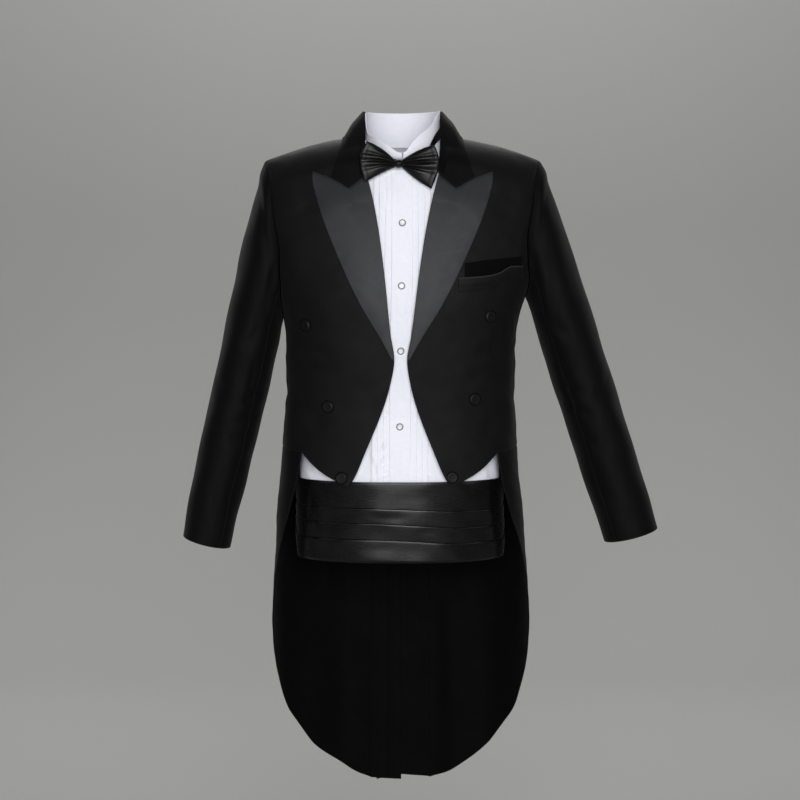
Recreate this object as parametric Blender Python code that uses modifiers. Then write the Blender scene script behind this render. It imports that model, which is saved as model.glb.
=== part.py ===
"""Tailcoat, dress shirt, bow tie and cummerbund, hollow and open as if worn.

Metres, +Z up. The suit faces -Y, so the wearer's right is at -X. The origin is
the middle of the neck opening, level with the points where neck and shoulder
meet. Every piece of cloth is a wall between an outer and an inner surface.
"""
import bisect
import math

import bmesh
import bpy
from mathutils import Matrix, Vector

OBJECT_NAME = "tailcoat_suit"

# Walls: wool with its canvas, and shirt cotton with its lining
WOOL = 0.0020
COTTON = 0.0015
# Each piece stops half of this short of its seam, and lies this far off what is under it
SEAM_GAP = 0.0003
LAP_GAP = 0.0004

# How squarely the trunk turns from front to side (2 would be an ellipse)
SQUARENESS = 2.3
# Height over which the cloth rolls from the shoulder line down to the chest
SHOULDER_ROLL = 0.050
# Panels stop this much of a radian short of the shoulder line
RIDGE_FALL = 0.004

# The coat's sections, from the shoulder line down to the tails' hem
COAT_SECTIONS = [
    {"z": 0.00, "half_width": 0.2360, "front": 0.070, "back": 0.075},
    {"z": -0.05, "half_width": 0.2360, "front": 0.083, "back": 0.090},
    {"z": -0.10, "half_width": 0.2350, "front": 0.099, "back": 0.105},
    {"z": -0.15, "half_width": 0.2290, "front": 0.110, "back": 0.115},
    {"z": -0.20, "half_width": 0.2195, "front": 0.118, "back": 0.122},
    {"z": -0.24, "half_width": 0.2050, "front": 0.122, "back": 0.123},
    {"z": -0.27, "half_width": 0.1945, "front": 0.124, "back": 0.122},
    {"z": -0.32, "half_width": 0.1865, "front": 0.122, "back": 0.117},
    {"z": -0.39, "half_width": 0.1855, "front": 0.115, "back": 0.106},
    {"z": -0.45, "half_width": 0.1885, "front": 0.111, "back": 0.102},
    {"z": -0.52, "half_width": 0.1930, "front": 0.110, "back": 0.103},
    {"z": -0.60, "half_width": 0.2005, "front": 0.110, "back": 0.108},
    {"z": -0.72, "half_width": 0.2085, "front": 0.112, "back": 0.112},
    {"z": -0.80, "half_width": 0.2120, "front": 0.112, "back": 0.112},
    {"z": -0.95, "half_width": 0.2115, "front": 0.110, "back": 0.108},
    {"z": -1.10, "half_width": 0.2110, "front": 0.106, "back": 0.102},
]
SHIRT_SECTIONS = [
    {"z": 0.00, "half_width": 0.2150, "front": 0.060, "back": 0.064},
    {"z": -0.05, "half_width": 0.2150, "front": 0.072, "back": 0.079},
    {"z": -0.10, "half_width": 0.2120, "front": 0.088, "back": 0.095},
    {"z": -0.15, "half_width": 0.2040, "front": 0.099, "back": 0.105},
    {"z": -0.20, "half_width": 0.1950, "front": 0.107, "back": 0.112},
    {"z": -0.24, "half_width": 0.1860, "front": 0.110, "back": 0.113},
    {"z": -0.29, "half_width": 0.1760, "front": 0.111, "back": 0.110},
    {"z": -0.35, "half_width": 0.1700, "front": 0.108, "back": 0.101},
    {"z": -0.42, "half_width": 0.1640, "front": 0.100, "back": 0.091},
    {"z": -0.50, "half_width": 0.1630, "front": 0.097, "back": 0.089},
    {"z": -0.60, "half_width": 0.1640, "front": 0.097, "back": 0.092},
    {"z": -0.70, "half_width": 0.1650, "front": 0.098, "back": 0.094},
]
# The shoulder line, and how the back of the neck rises above it
SHOULDER_LINE = [
    {"x": 0.0888, "z": 0.0040},
    {"x": 0.1150, "z": -0.0010},
    {"x": 0.1540, "z": -0.0100},
    {"x": 0.1840, "z": -0.0196},
    {"x": 0.2150, "z": -0.0310},
    {"x": 0.2250, "z": -0.0355},
]
BACK_NECK_LINE = [
    {"x": 0.0000, "z": 0.0250},
    {"x": 0.0500, "z": 0.0185},
    {"x": 0.0888, "z": 0.0040},
]
SHIRT_BACK_NECK_LINE = [
    {"x": 0.0000, "z": 0.0200},
    {"x": 0.0300, "z": 0.0140},
    {"x": 0.0560, "z": 0.0040},
]
# The suit hangs a little to the wearer's right below the chest
SWAY = [
    {"z": -0.10, "x": 0.0000},
    {"z": -0.35, "x": -0.0030},
    {"z": -0.52, "x": -0.0048},
    {"z": -0.72, "x": -0.0030},
    {"z": -1.10, "x": -0.0022},
]
SHIRT_BELOW_COAT = 0.0028

# Soft upright folds in the tails: place, half width, and how far they stand out (or in)
TAIL_FOLDS = [
    {"x": -0.150, "half_width": 0.030, "stand": -0.005},
    {"x": -0.095, "half_width": 0.030, "stand": 0.006},
    {"x": -0.035, "half_width": 0.026, "stand": -0.003},
    {"x": 0.050, "half_width": 0.026, "stand": 0.004},
    {"x": 0.100, "half_width": 0.030, "stand": -0.006},
    {"x": 0.155, "half_width": 0.026, "stand": 0.005},
]
FOLDS_START = -0.62
FOLDS_FULL = -0.95

# Coat edges, measured from the centre line: the front from neck to break to point
FRONT_EDGE = [
    {"z": 0.0035, "x": 0.0875},
    {"z": -0.0300, "x": 0.0690},
    {"z": -0.0600, "x": 0.0560},
    {"z": -0.1370, "x": 0.0384},
    {"z": -0.2150, "x": 0.0270},
    {"z": -0.3100, "x": 0.0160},
    {"z": -0.3480, "x": 0.0100},
    {"z": -0.3880, "x": 0.0160},
    {"z": -0.5070, "x": 0.0590},
    {"z": -0.5380, "x": 0.0730},
    {"z": -0.5510, "x": 0.0830},
]
BREAK_POINT = {"x": 0.0100, "z": -0.348}
# The back neckline, an oval seen from above, and its height at the centre back
COAT_NECK = {"half_width": 0.0875, "front": 0.0, "back": 0.0620}
BACK_NECK_Z = 0.0045
FRONT_CORNER = {"x": 0.1570, "z": -0.4980}
FRONT_HEM_SAG = 0.004
SIDE_SEAM_FOOT = {"turn": 82.0, "z": -0.492}
BACK_SEAM_WAIST = {"x": 0.0430, "z": -0.470}
BACK_SEAM_BEND = 9.0
STRIP_HEM = {"x": 0.0500, "z": -1.0735}
CENTRE_HEM = -1.0772
TAIL_FRONT_EDGE = [
    {"z": -0.498, "turn": 52.7},
    {"z": -0.542, "turn": 55.2},
    {"z": -0.600, "turn": 62.0},
    {"z": -0.634, "turn": 68.0},
    {"z": -0.705, "turn": 79.5},
    {"z": -0.760, "turn": 87.0},
    {"z": -0.820, "turn": 96.0},
    {"z": -0.867, "turn": 103.0},
    {"z": -0.905, "turn": 110.0},
    {"z": -0.942, "turn": 118.0},
    {"z": -0.970, "turn": 127.1},
]
TAIL_HEM = [
    {"x": 0.1737, "z": -0.9700},
    {"x": 0.1465, "z": -1.0110},
    {"x": 0.1050, "z": -1.0450},
    {"x": 0.0765, "z": -1.0640},
    {"x": 0.0500, "z": -1.0735},
]
# The wearer's left tail laps outside the right one behind
VENT_LAP = 0.042
VENT_TOP = -0.480
VENT_STAND = 0.0036
# How far from the centre the lap starts to stand off, and how far above the vent
VENT_STAND_FROM = 0.030
VENT_STAND_OVER = 0.028
VENT_STAND_ABOVE = 0.045
VENT_STAND_RISE = 0.040

# The armholes: how far each point of the loop is turned from the side of the trunk
ARMHOLE_TURN = [
    {"round": 0, "from_side": 21.0},
    {"round": 45, "from_side": 28.0},
    {"round": 90, "from_side": 31.0},
    {"round": 120, "from_side": 24.5},
    {"round": 137, "from_side": 16.0},
    {"round": 160, "from_side": 7.0},
    {"round": 180, "from_side": 0.0},
]
ARMHOLE_TOP = -0.0350
BACK_ARMHOLE_WIDER = 1.05
# Where the loop passes from front panel to side panel to back panel, in degrees from its top
SIDE_PANEL_FROM = 152.0
SIDE_PANEL_TO = 228.0

# Each side: its sign and the armpit's height
SIDES = [
    {"name": "right", "sign": -1, "armpit": -0.288},
    {"name": "left", "sign": 1, "armpit": -0.252},
]
# A sleeve's outer and inner edges, seen from the front, at each share of the way to the cuff
SLEEVE_SECTIONS = {
    "right": [
        {"down": 0.00, "out_x": 0.2225, "out_z": -0.0350, "in_x": 0.1905, "in_z": -0.2880},
        {"down": 0.06, "out_x": 0.2320, "out_z": -0.0700, "in_x": 0.1965, "in_z": -0.3030},
        {"down": 0.14, "out_x": 0.2440, "out_z": -0.1090, "in_x": 0.1995, "in_z": -0.3170},
        {"down": 0.24, "out_x": 0.2590, "out_z": -0.1640, "in_x": 0.2030, "in_z": -0.3350},
        {"down": 0.36, "out_x": 0.2745, "out_z": -0.2340, "in_x": 0.2090, "in_z": -0.3630},
        {"down": 0.50, "out_x": 0.2915, "out_z": -0.3150, "in_x": 0.2210, "in_z": -0.4140},
        {"down": 0.64, "out_x": 0.3090, "out_z": -0.3980, "in_x": 0.2355, "in_z": -0.4760},
        {"down": 0.78, "out_x": 0.3275, "out_z": -0.4820, "in_x": 0.2515, "in_z": -0.5420},
        {"down": 0.90, "out_x": 0.3440, "out_z": -0.5670, "in_x": 0.2675, "in_z": -0.6040},
        {"down": 1.00, "out_x": 0.3563, "out_z": -0.6370, "in_x": 0.2802, "in_z": -0.6570},
    ],
    "left": [
        {"down": 0.00, "out_x": 0.2225, "out_z": -0.0350, "in_x": 0.2000, "in_z": -0.2520},
        {"down": 0.06, "out_x": 0.2350, "out_z": -0.0660, "in_x": 0.2040, "in_z": -0.2620},
        {"down": 0.14, "out_x": 0.2490, "out_z": -0.1040, "in_x": 0.2085, "in_z": -0.2760},
        {"down": 0.24, "out_x": 0.2690, "out_z": -0.1600, "in_x": 0.2150, "in_z": -0.2980},
        {"down": 0.36, "out_x": 0.2925, "out_z": -0.2310, "in_x": 0.2265, "in_z": -0.3360},
        {"down": 0.50, "out_x": 0.3190, "out_z": -0.3130, "in_x": 0.2440, "in_z": -0.3910},
        {"down": 0.64, "out_x": 0.3460, "out_z": -0.3980, "in_x": 0.2640, "in_z": -0.4530},
        {"down": 0.78, "out_x": 0.3725, "out_z": -0.4840, "in_x": 0.2860, "in_z": -0.5220},
        {"down": 0.90, "out_x": 0.3970, "out_z": -0.5670, "in_x": 0.3090, "in_z": -0.5920},
        {"down": 1.00, "out_x": 0.4130, "out_z": -0.6244, "in_x": 0.3280, "in_z": -0.6470},
    ],
}
# Both sleeves: the middle of each section, front to back, and its depth
SLEEVE_DEPTHS = [
    {"down": 0.00, "y": 0.000, "depth": 0.124},
    {"down": 0.06, "y": 0.001, "depth": 0.134},
    {"down": 0.14, "y": 0.003, "depth": 0.142},
    {"down": 0.24, "y": 0.005, "depth": 0.143},
    {"down": 0.36, "y": 0.005, "depth": 0.139},
    {"down": 0.50, "y": 0.002, "depth": 0.131},
    {"down": 0.64, "y": -0.005, "depth": 0.122},
    {"down": 0.78, "y": -0.014, "depth": 0.112},
    {"down": 0.90, "y": -0.025, "depth": 0.103},
    {"down": 1.00, "y": -0.034, "depth": 0.096},
]
# The share of a sleeve over which it turns from the armhole's loop into its own sections
SLEEVE_BLEND = 0.24
SLEEVE_ROWS = 12
# Rows of a sleeve lie closer together towards the armhole
SLEEVE_CROWDING = 1.15

# Grid counts, shared by panels that meet at a seam
ARM_FRONT_STEPS = 7
ARM_SIDE_STEPS = 4
ARM_BACK_STEPS = 6
SIDE_STEPS = 7
TAIL_STEPS = 13
HEM_STEPS = 6
WAIST_FRONT_STEPS = 2
WAIST_SIDE_STEPS = 4
BACK_SHOULDER_STEPS = 4
BACK_NECK_STEPS = 4
# Rows of a front lie closer together towards the neck
NECK_CROWDING = 1.3
# The undersleeve runs between these two stations of the armhole loop
UNDERSLEEVE_FROM = 6
UNDERSLEEVE_TO = 13

COLOURS = {
    "wool": {"colour": (0.012, 0.012, 0.014), "roughness": 0.85},
    "lapel_wool": {"colour": (0.035, 0.037, 0.040), "roughness": 0.75},
    "cotton": {"colour": (0.84, 0.84, 0.88), "roughness": 0.80},
    "satin": {"colour": (0.018, 0.018, 0.020), "roughness": 0.35},
    "pearl": {"colour": (0.62, 0.63, 0.66), "roughness": 0.20},
    "covered": {"colour": (0.015, 0.015, 0.017), "roughness": 0.70},
}


def clear_scene():
    for old in list(bpy.data.objects):
        bpy.data.objects.remove(old, do_unlink=True)


def curve_through(rows, at_name, value_name):
    """A smooth function through a table's rows that never swings past them."""
    pairs = sorted((row[at_name], row[value_name]) for row in rows)
    at = [pair[0] for pair in pairs]
    value = [pair[1] for pair in pairs]
    chords = [(value[i + 1] - value[i]) / (at[i + 1] - at[i]) for i in range(len(at) - 1)]
    slopes = [chords[0]]
    for before, after in zip(chords, chords[1:]):
        same_way = before * after > 0.0
        slopes.append(2.0 * before * after / (before + after) if same_way else 0.0)
    slopes.append(chords[-1])

    def read(where):
        if where <= at[0]:
            return value[0]
        if where >= at[-1]:
            return value[-1]
        i = bisect.bisect_right(at, where) - 1
        width = at[i + 1] - at[i]
        t = (where - at[i]) / width
        start = value[i] * (1 + 2 * t) * (1 - t) ** 2 + slopes[i] * width * t * (1 - t) ** 2
        end = value[i + 1] * t * t * (3 - 2 * t) + slopes[i + 1] * width * t * t * (t - 1)
        return start + end

    return read


def ease(share):
    """0 to 1, soft at both ends."""
    share = min(max(share, 0.0), 1.0)
    return share * share * (3.0 - 2.0 * share)


def mix(start, end, share):
    return start + (end - start) * share


class Trunk:
    """A hollow trunk of cloth, found by its turn from centre front and its fall from the shoulder line."""

    def __init__(self, sections, back_neck, lower_by=0.0, folds=()):
        self.half_width = curve_through(sections, "z", "half_width")
        self.front = curve_through(sections, "z", "front")
        self.back = curve_through(sections, "z", "back")
        self.sway = curve_through(SWAY, "z", "x")
        self.shoulder = curve_through(SHOULDER_LINE, "x", "z")
        self.back_neck = curve_through(back_neck, "x", "z")
        self.neck_reach = back_neck[-1]["x"]
        self.lower_by = lower_by
        self.folds = folds

    def ridge(self, x, behind):
        on_neck = behind and x < self.neck_reach
        line = self.back_neck if on_neck else self.shoulder
        return line(x) - self.lower_by

    def fold_stand(self, x, z):
        if z > FOLDS_START:
            return 0.0
        stand = sum(f["stand"] * math.exp(-((x - f["x"]) / f["half_width"]) ** 2) for f in self.folds)
        return stand * ease((FOLDS_START - z) / (FOLDS_START - FOLDS_FULL))

    def surface(self, turn, fall):
        angle = math.radians(abs(turn))
        sign = math.copysign(1.0, math.sin(math.radians(turn)))
        behind = angle > math.pi / 2
        power = 2.0 / SQUARENESS
        across = abs(math.sin(angle)) ** power
        along = abs(math.cos(angle)) ** power
        rolled = min(fall, math.pi / 2)
        drop = SHOULDER_ROLL * (1.0 - math.cos(rolled) + max(fall - math.pi / 2, 0.0))
        z = -drop
        for _ in range(5):
            x = self.half_width(z) * across
            z = self.ridge(x, behind) - drop
        depth = self.back(z) if behind else -self.front(z)
        y = depth * along * math.sin(rolled)
        if behind:
            y += self.fold_stand(sign * x, z) * along
        return Vector((sign * x + self.sway(z), y, z))

    def normal(self, turn, fall):
        step = 0.01
        around = self.surface(turn + 50 * step, fall) - self.surface(turn - 50 * step, fall)
        down = self.surface(turn, fall + step) - self.surface(turn, fall - step)
        return down.cross(around).normalized()

    def point(self, turn, fall, out=0.0):
        return self.surface(turn, fall) + self.normal(turn, fall) * out

    def place(self, x, z, behind=False):
        """Turn and fall of the point at x from the centre line and height z."""
        across = min(abs(x) / self.half_width(z), 1.0)
        turn = math.degrees(math.asin(across ** (SQUARENESS / 2.0)))
        if behind:
            turn = 180.0 - turn
        share = max((self.ridge(abs(x), behind) - z) / SHOULDER_ROLL, 0.0)
        fall = math.acos(1.0 - share) if share < 1.0 else math.pi / 2 + share - 1.0
        return (math.copysign(turn, x), fall)


def new_material(kind):
    material = bpy.data.materials.new(kind)
    material.use_nodes = True
    shader = material.node_tree.nodes["Principled BSDF"]
    shader.inputs["Base Color"].default_value = (*COLOURS[kind]["colour"], 1.0)
    shader.inputs["Roughness"].default_value = COLOURS[kind]["roughness"]
    shader.inputs["Metallic"].default_value = 0.0
    return material


def add_piece(name, mesh, kind):
    mesh.materials.append(new_material(kind))
    piece = bpy.data.objects.new(name, mesh)
    collection.objects.link(piece)
    return piece


def pull_in_edges(outer, inner, sides, gap=SEAM_GAP / 2):
    """Draw the named edge rows and columns of a wall back from their seams."""
    rows = len(outer)
    columns = len(outer[0])
    moves = {}
    for j in range(columns):
        if "top" in sides:
            moves[(0, j)] = (outer[1][j] - outer[0][j]).normalized() * gap
        if "bottom" in sides:
            moves[(rows - 1, j)] = (outer[-2][j] - outer[-1][j]).normalized() * gap
    for i in range(rows):
        if "left" in sides:
            moves[(i, 0)] = moves.get((i, 0), Vector()) + (outer[i][1] - outer[i][0]).normalized() * gap
        if "right" in sides:
            last = (i, columns - 1)
            moves[last] = moves.get(last, Vector()) + (outer[i][-2] - outer[i][-1]).normalized() * gap
    for (i, j), move in moves.items():
        outer[i][j] = outer[i][j] + move
        inner[i][j] = inner[i][j] + move


def wall_mesh(name, outer, inner, closed=False):
    """A wall between two grids of points; closed joins the last column to the first."""
    rows = len(outer)
    columns = len(outer[0])
    mesh = bpy.data.meshes.new(name)
    bm = bmesh.new()
    out = [[bm.verts.new(p) for p in row] for row in outer]
    ins = [[bm.verts.new(p) for p in row] for row in inner]
    last = columns if closed else columns - 1
    for i in range(rows - 1):
        for j in range(last):
            k = (j + 1) % columns
            bm.faces.new((out[i][j], out[i + 1][j], out[i + 1][k], out[i][k]))
            bm.faces.new((ins[i][j], ins[i][k], ins[i + 1][k], ins[i + 1][j]))
    for j in range(last):
        k = (j + 1) % columns
        bm.faces.new((out[0][j], out[0][k], ins[0][k], ins[0][j]))
        bm.faces.new((out[-1][j], ins[-1][j], ins[-1][k], out[-1][k]))
    if not closed:
        for i in range(rows - 1):
            bm.faces.new((out[i][0], ins[i][0], ins[i + 1][0], out[i + 1][0]))
            bm.faces.new((out[i][-1], out[i + 1][-1], ins[i + 1][-1], ins[i][-1]))
    bmesh.ops.recalc_face_normals(bm, faces=bm.faces)
    if bm.calc_volume(signed=True) < 0.0:
        bmesh.ops.reverse_faces(bm, faces=bm.faces)
    bm.to_mesh(mesh)
    bm.free()
    mesh.shade_smooth()
    mesh.set_sharp_from_angle(angle=math.radians(40))
    return mesh


def trunk_wall(name, trunk, grid, wall, kind, seams=(), heights=None, inner_height=None):
    """A panel of a trunk from a grid of (turn, fall), its outer face at the given heights."""
    outer = []
    inner = []
    for i, row in enumerate(grid):
        out = heights[i] if heights else [0.0] * len(row)
        low = [inner_height] * len(row) if inner_height is not None else [h - wall for h in out]
        outer.append([trunk.point(*spot, height) for spot, height in zip(row, out)])
        inner.append([trunk.point(*spot, height) for spot, height in zip(row, low)])
    pull_in_edges(outer, inner, seams)
    return add_piece(name, wall_mesh(name, outer, inner), kind)


def sheet_wall(name, middle, wall, kind, closed=False):
    """A wall of even thickness about a grid of middle points."""
    rows = len(middle)
    columns = len(middle[0])
    outer = []
    inner = []
    for i in range(rows):
        outer.append([])
        inner.append([])
        for j in range(columns):
            down = middle[min(i + 1, rows - 1)][j] - middle[max(i - 1, 0)][j]
            after = middle[i][(j + 1) % columns if closed else min(j + 1, columns - 1)]
            before = middle[i][j - 1 if closed else max(j - 1, 0)]
            normal = down.cross(after - before).normalized()
            outer[i].append(middle[i][j] + normal * wall / 2)
            inner[i].append(middle[i][j] - normal * wall / 2)
    return add_piece(name, wall_mesh(name, outer, inner, closed), kind)


def patch(left, right, top, bottom):
    """A grid filled in between four edges, each a list of (turn, fall) with shared corners."""
    def shares(edge):
        return [(turn - edge[0][0]) / (edge[-1][0] - edge[0][0]) for turn, _ in edge]

    def bows(edge, along):
        return [fall - mix(edge[0][1], edge[-1][1], share) for (_, fall), share in zip(edge, along)]

    top_shares = shares(top)
    bottom_shares = shares(bottom)
    top_bows = bows(top, top_shares)
    bottom_bows = bows(bottom, bottom_shares)
    rows = len(left)
    grid = []
    for i in range(rows):
        v = i / (rows - 1)
        row = []
        for j in range(len(top)):
            u = mix(top_shares[j], bottom_shares[j], v)
            turn = mix(left[i][0], right[i][0], u)
            fall = mix(left[i][1], right[i][1], u)
            row.append((turn, fall + top_bows[j] * (1.0 - v) ** 2 + bottom_bows[j] * v * v))
        grid.append(row)
    return grid


def steps(start, end, count):
    return [mix(start, end, i / count) for i in range(count + 1)]


def straight(start, end, count):
    return [(mix(start[0], end[0], s), mix(start[1], end[1], s)) for s in steps(0.0, 1.0, count)]


def mirrored(spots):
    return [(-turn, fall) for turn, fall in spots]


# The coat's body

def armhole_spot(side, angle):
    """The armhole loop on the coat's trunk, by the angle from its top over the front."""
    middle = (ARMHOLE_TOP + side["armpit"]) / 2
    half_height = (ARMHOLE_TOP - side["armpit"]) / 2
    from_side = curve_through(ARMHOLE_TURN, "round", "from_side")
    behind = angle > 180.0
    turned = from_side(360.0 - angle if behind else angle)
    turn = 90.0 + BACK_ARMHOLE_WIDER * turned if behind else 90.0 - turned
    z = middle + half_height * math.cos(math.radians(angle))
    x = coat.half_width(z) * math.sin(math.radians(turn)) ** (2.0 / SQUARENESS)
    fall = coat.place(x, z, behind)[1]
    return (turn, fall)


def armhole_angles():
    front = steps(0.0, SIDE_PANEL_FROM, ARM_FRONT_STEPS)
    below = steps(SIDE_PANEL_FROM, SIDE_PANEL_TO, ARM_SIDE_STEPS)
    back = steps(SIDE_PANEL_TO, 360.0, ARM_BACK_STEPS)
    return front + below[1:] + back[1:]


def edge_by_height(table, heights, behind=False):
    x_at = curve_through(table, "z", "x")
    return [coat.place(x_at(z), z, behind) for z in heights]


def coat_seams(side):
    """Every edge of one side of the coat, as (turn, fall) lists for the wearer's left."""
    front_arm = [armhole_spot(side, a) for a in steps(0.0, SIDE_PANEL_FROM, ARM_FRONT_STEPS)]
    under_arm = [armhole_spot(side, a) for a in steps(SIDE_PANEL_FROM, SIDE_PANEL_TO, ARM_SIDE_STEPS)]
    back_arm = [armhole_spot(side, a) for a in steps(360.0, SIDE_PANEL_TO, ARM_BACK_STEPS)]
    foot_turn = SIDE_SEAM_FOOT["turn"]
    foot_x = coat.half_width(SIDE_SEAM_FOOT["z"]) * math.sin(math.radians(foot_turn)) ** (2.0 / SQUARENESS)
    foot = (foot_turn, coat.place(foot_x, SIDE_SEAM_FOOT["z"])[1])
    waist = coat.place(BACK_SEAM_WAIST["x"], BACK_SEAM_WAIST["z"], behind=True)
    back_seam = straight(back_arm[-1], waist, SIDE_STEPS)
    back_seam = [
        (turn + BACK_SEAM_BEND * math.sin(math.pi * i / SIDE_STEPS), fall)
        for i, (turn, fall) in enumerate(back_seam)
    ]
    corner = coat.place(FRONT_CORNER["x"], FRONT_CORNER["z"])
    point = coat.place(FRONT_EDGE[-1]["x"], FRONT_EDGE[-1]["z"])
    hem = straight(point, corner, HEM_STEPS)
    hem = [
        (turn, fall + FRONT_HEM_SAG / SHOULDER_ROLL * math.sin(math.pi * i / HEM_STEPS))
        for i, (turn, fall) in enumerate(hem)
    ]
    strip = straight(waist, coat.place(STRIP_HEM["x"], STRIP_HEM["z"], behind=True), TAIL_STEPS)
    return {
        "front_arm": front_arm,
        "under_arm": under_arm,
        "back_arm": back_arm,
        "side_seam": straight(front_arm[-1], foot, SIDE_STEPS),
        "back_seam": back_seam,
        "hem": hem,
        "waist_front": straight(corner, foot, WAIST_FRONT_STEPS),
        "waist_side": straight(foot, waist, WAIST_SIDE_STEPS),
        "strip": strip,
    }


def front_panel(side, seams):
    """A front from shoulder to hem, open from the neck along the roll line and down to its point."""
    count = ARM_FRONT_STEPS + SIDE_STEPS
    outer_edge = seams["front_arm"] + seams["side_seam"][1:]
    neck = coat.place(FRONT_EDGE[0]["x"], FRONT_EDGE[0]["z"])
    top = straight((neck[0], RIDGE_FALL), (outer_edge[0][0], RIDGE_FALL), HEM_STEPS + WAIST_FRONT_STEPS)
    outer_edge = [top[-1]] + outer_edge[1:]
    shares = [share ** NECK_CROWDING for share in steps(0.0, 1.0, count)]
    heights = [mix(FRONT_EDGE[0]["z"], FRONT_EDGE[-1]["z"], share) for share in shares]
    inner_edge = edge_by_height(FRONT_EDGE, heights)
    inner_edge = [top[0]] + inner_edge[1:]
    bottom = seams["hem"] + seams["waist_front"][1:]
    return patch(inner_edge, outer_edge, top, bottom)


def side_panel(seams):
    return patch(seams["side_seam"], seams["back_seam"], seams["under_arm"], seams["waist_side"])


def neckline_spot(trunk, ring, angle):
    """Where an oval neckline, seen from above, lies on a trunk; the angle is from the centre front."""
    swing = math.radians(abs(angle))
    behind = abs(angle) > 90.0
    x = ring["half_width"] * abs(math.sin(swing))
    depth = ring["back"] if behind else ring["front"]
    z = 0.0
    for _ in range(6):
        turn = trunk.place(x, z, behind)[0]
        wide = trunk.back(z) if behind else trunk.front(z)
        reach = wide * abs(math.cos(math.radians(turn))) ** (2.0 / SQUARENESS)
        share = depth * abs(math.cos(swing)) / max(reach, 1e-9)
        fall = max(math.asin(min(share, 1.0)), RIDGE_FALL)
        z = trunk.surface(turn, fall).z
    return (math.copysign(turn, angle), fall)


def back_panel(side, seams):
    """A back from the shoulder down to the waist, and on as the strip beside the vent."""
    outer_edge = seams["back_arm"] + seams["back_seam"][1:] + seams["strip"][1:]
    neck_point = (neckline_spot(coat, COAT_NECK, 90.1)[0], RIDGE_FALL)
    top = straight((outer_edge[0][0], RIDGE_FALL), neck_point, BACK_SHOULDER_STEPS)
    for angle in steps(90.1, 180.0, BACK_NECK_STEPS)[1:]:
        top.append(neckline_spot(coat, COAT_NECK, angle))
    top[-1] = (180.0, top[-1][1])
    outer_edge = [top[0]] + outer_edge[1:]
    waist_row = ARM_BACK_STEPS + SIDE_STEPS
    centre = [top[-1]]
    for i in range(1, waist_row + TAIL_STEPS + 1):
        share = max(i - waist_row, 0) / TAIL_STEPS
        z = mix(VENT_TOP, CENTRE_HEM, share) if share else mix(BACK_NECK_Z, VENT_TOP, i / waist_row)
        lap = VENT_LAP if share and side["name"] == "left" else 0.0
        turn, fall = coat.place(lap, z, behind=True)
        centre.append((360.0 - turn, fall))
    bottom = straight(outer_edge[-1], centre[-1], BACK_SHOULDER_STEPS + BACK_NECK_STEPS)
    return patch(outer_edge, centre, top, bottom)


def tail_panel(seams):
    """A skirt from the waist seam, its front edge curving round behind to the hem."""
    top = seams["waist_front"] + seams["waist_side"][1:]
    front = []
    turn_at = curve_through(TAIL_FRONT_EDGE, "z", "turn")
    for z in steps(TAIL_FRONT_EDGE[0]["z"], TAIL_FRONT_EDGE[-1]["z"], TAIL_STEPS):
        turn = turn_at(z)
        x = coat.half_width(z) * math.sin(math.radians(turn)) ** (2.0 / SQUARENESS)
        front.append((turn, coat.place(x, z, turn > 90.0)[1]))
    front = [top[0]] + front[1:]
    count = WAIST_FRONT_STEPS + WAIST_SIDE_STEPS
    hem_z = curve_through(TAIL_HEM, "x", "z")
    hem_x = steps(TAIL_HEM[0]["x"], TAIL_HEM[-1]["x"], count)
    hem = [front[-1]] + [coat.place(x, hem_z(x), behind=True) for x in hem_x[1:]]
    strip = seams["strip"]
    hem[-1] = strip[-1]
    return patch(front, strip, top, hem)


def vent_stand(turn, fall):
    """The left back stands off the right one where it laps it."""
    spot = coat.surface(turn, fall)
    near = ease((VENT_STAND_FROM - (spot.x - coat.sway(spot.z))) / VENT_STAND_OVER)
    low = ease((VENT_TOP + VENT_STAND_ABOVE - spot.z) / VENT_STAND_RISE)
    return VENT_STAND * near * low


def add_coat_body(side):
    seams = coat_seams(side)
    panels = [
        ("coat_front", front_panel(side, seams), ("top", "right")),
        ("coat_side", side_panel(seams), ("top", "left", "right", "bottom")),
        ("coat_back", back_panel(side, seams), ("top", "left", "right")),
        ("coat_tail", tail_panel(seams), ("top", "right")),
    ]
    for stem, grid, edges in panels:
        heights = [[vent_stand(*spot) for spot in row] for row in grid] if stem == "coat_back" else None
        if side["name"] == "right":
            grid = [mirrored(row) for row in grid]
            heights = None
        trunk_wall(f"{stem}_{side['name']}", coat, grid, WOOL, "wool", edges, heights)


# The sleeves

def sleeve_surface(side):
    """A sleeve's outer surface: by the angle round the armhole loop and the share down the arm."""
    rows = SLEEVE_SECTIONS[side["name"]]
    read = {name: curve_through(rows, "down", name) for name in ("out_x", "out_z", "in_x", "in_z")}
    read["y"] = curve_through(SLEEVE_DEPTHS, "down", "y")
    read["depth"] = curve_through(SLEEVE_DEPTHS, "down", "depth")
    sign = side["sign"]

    def section(angle, down):
        swing = math.cos(math.radians(angle))
        forward = math.sin(math.radians(angle))
        outer = Vector((read["out_x"](down), 0.0, read["out_z"](down)))
        inner = Vector((read["in_x"](down), 0.0, read["in_z"](down)))
        spot = (outer + inner) / 2 + (outer - inner) / 2 * swing
        spot.y = read["y"](down) - read["depth"](down) / 2 * forward
        return spot

    def point(angle, down):
        spot = section(angle, down)
        if down < SLEEVE_BLEND:
            turn, fall = armhole_spot(side, angle % 360.0)
            loop = coat.surface(sign * turn, fall)
            loop.x = abs(loop.x) + SEAM_GAP
            share = (1.0 - max(down, 0.0) / SLEEVE_BLEND) ** 2
            spot = spot + (loop - section(angle, 0.0)) * share
        return Vector((sign * spot.x, spot.y, spot.z))

    return point


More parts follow.
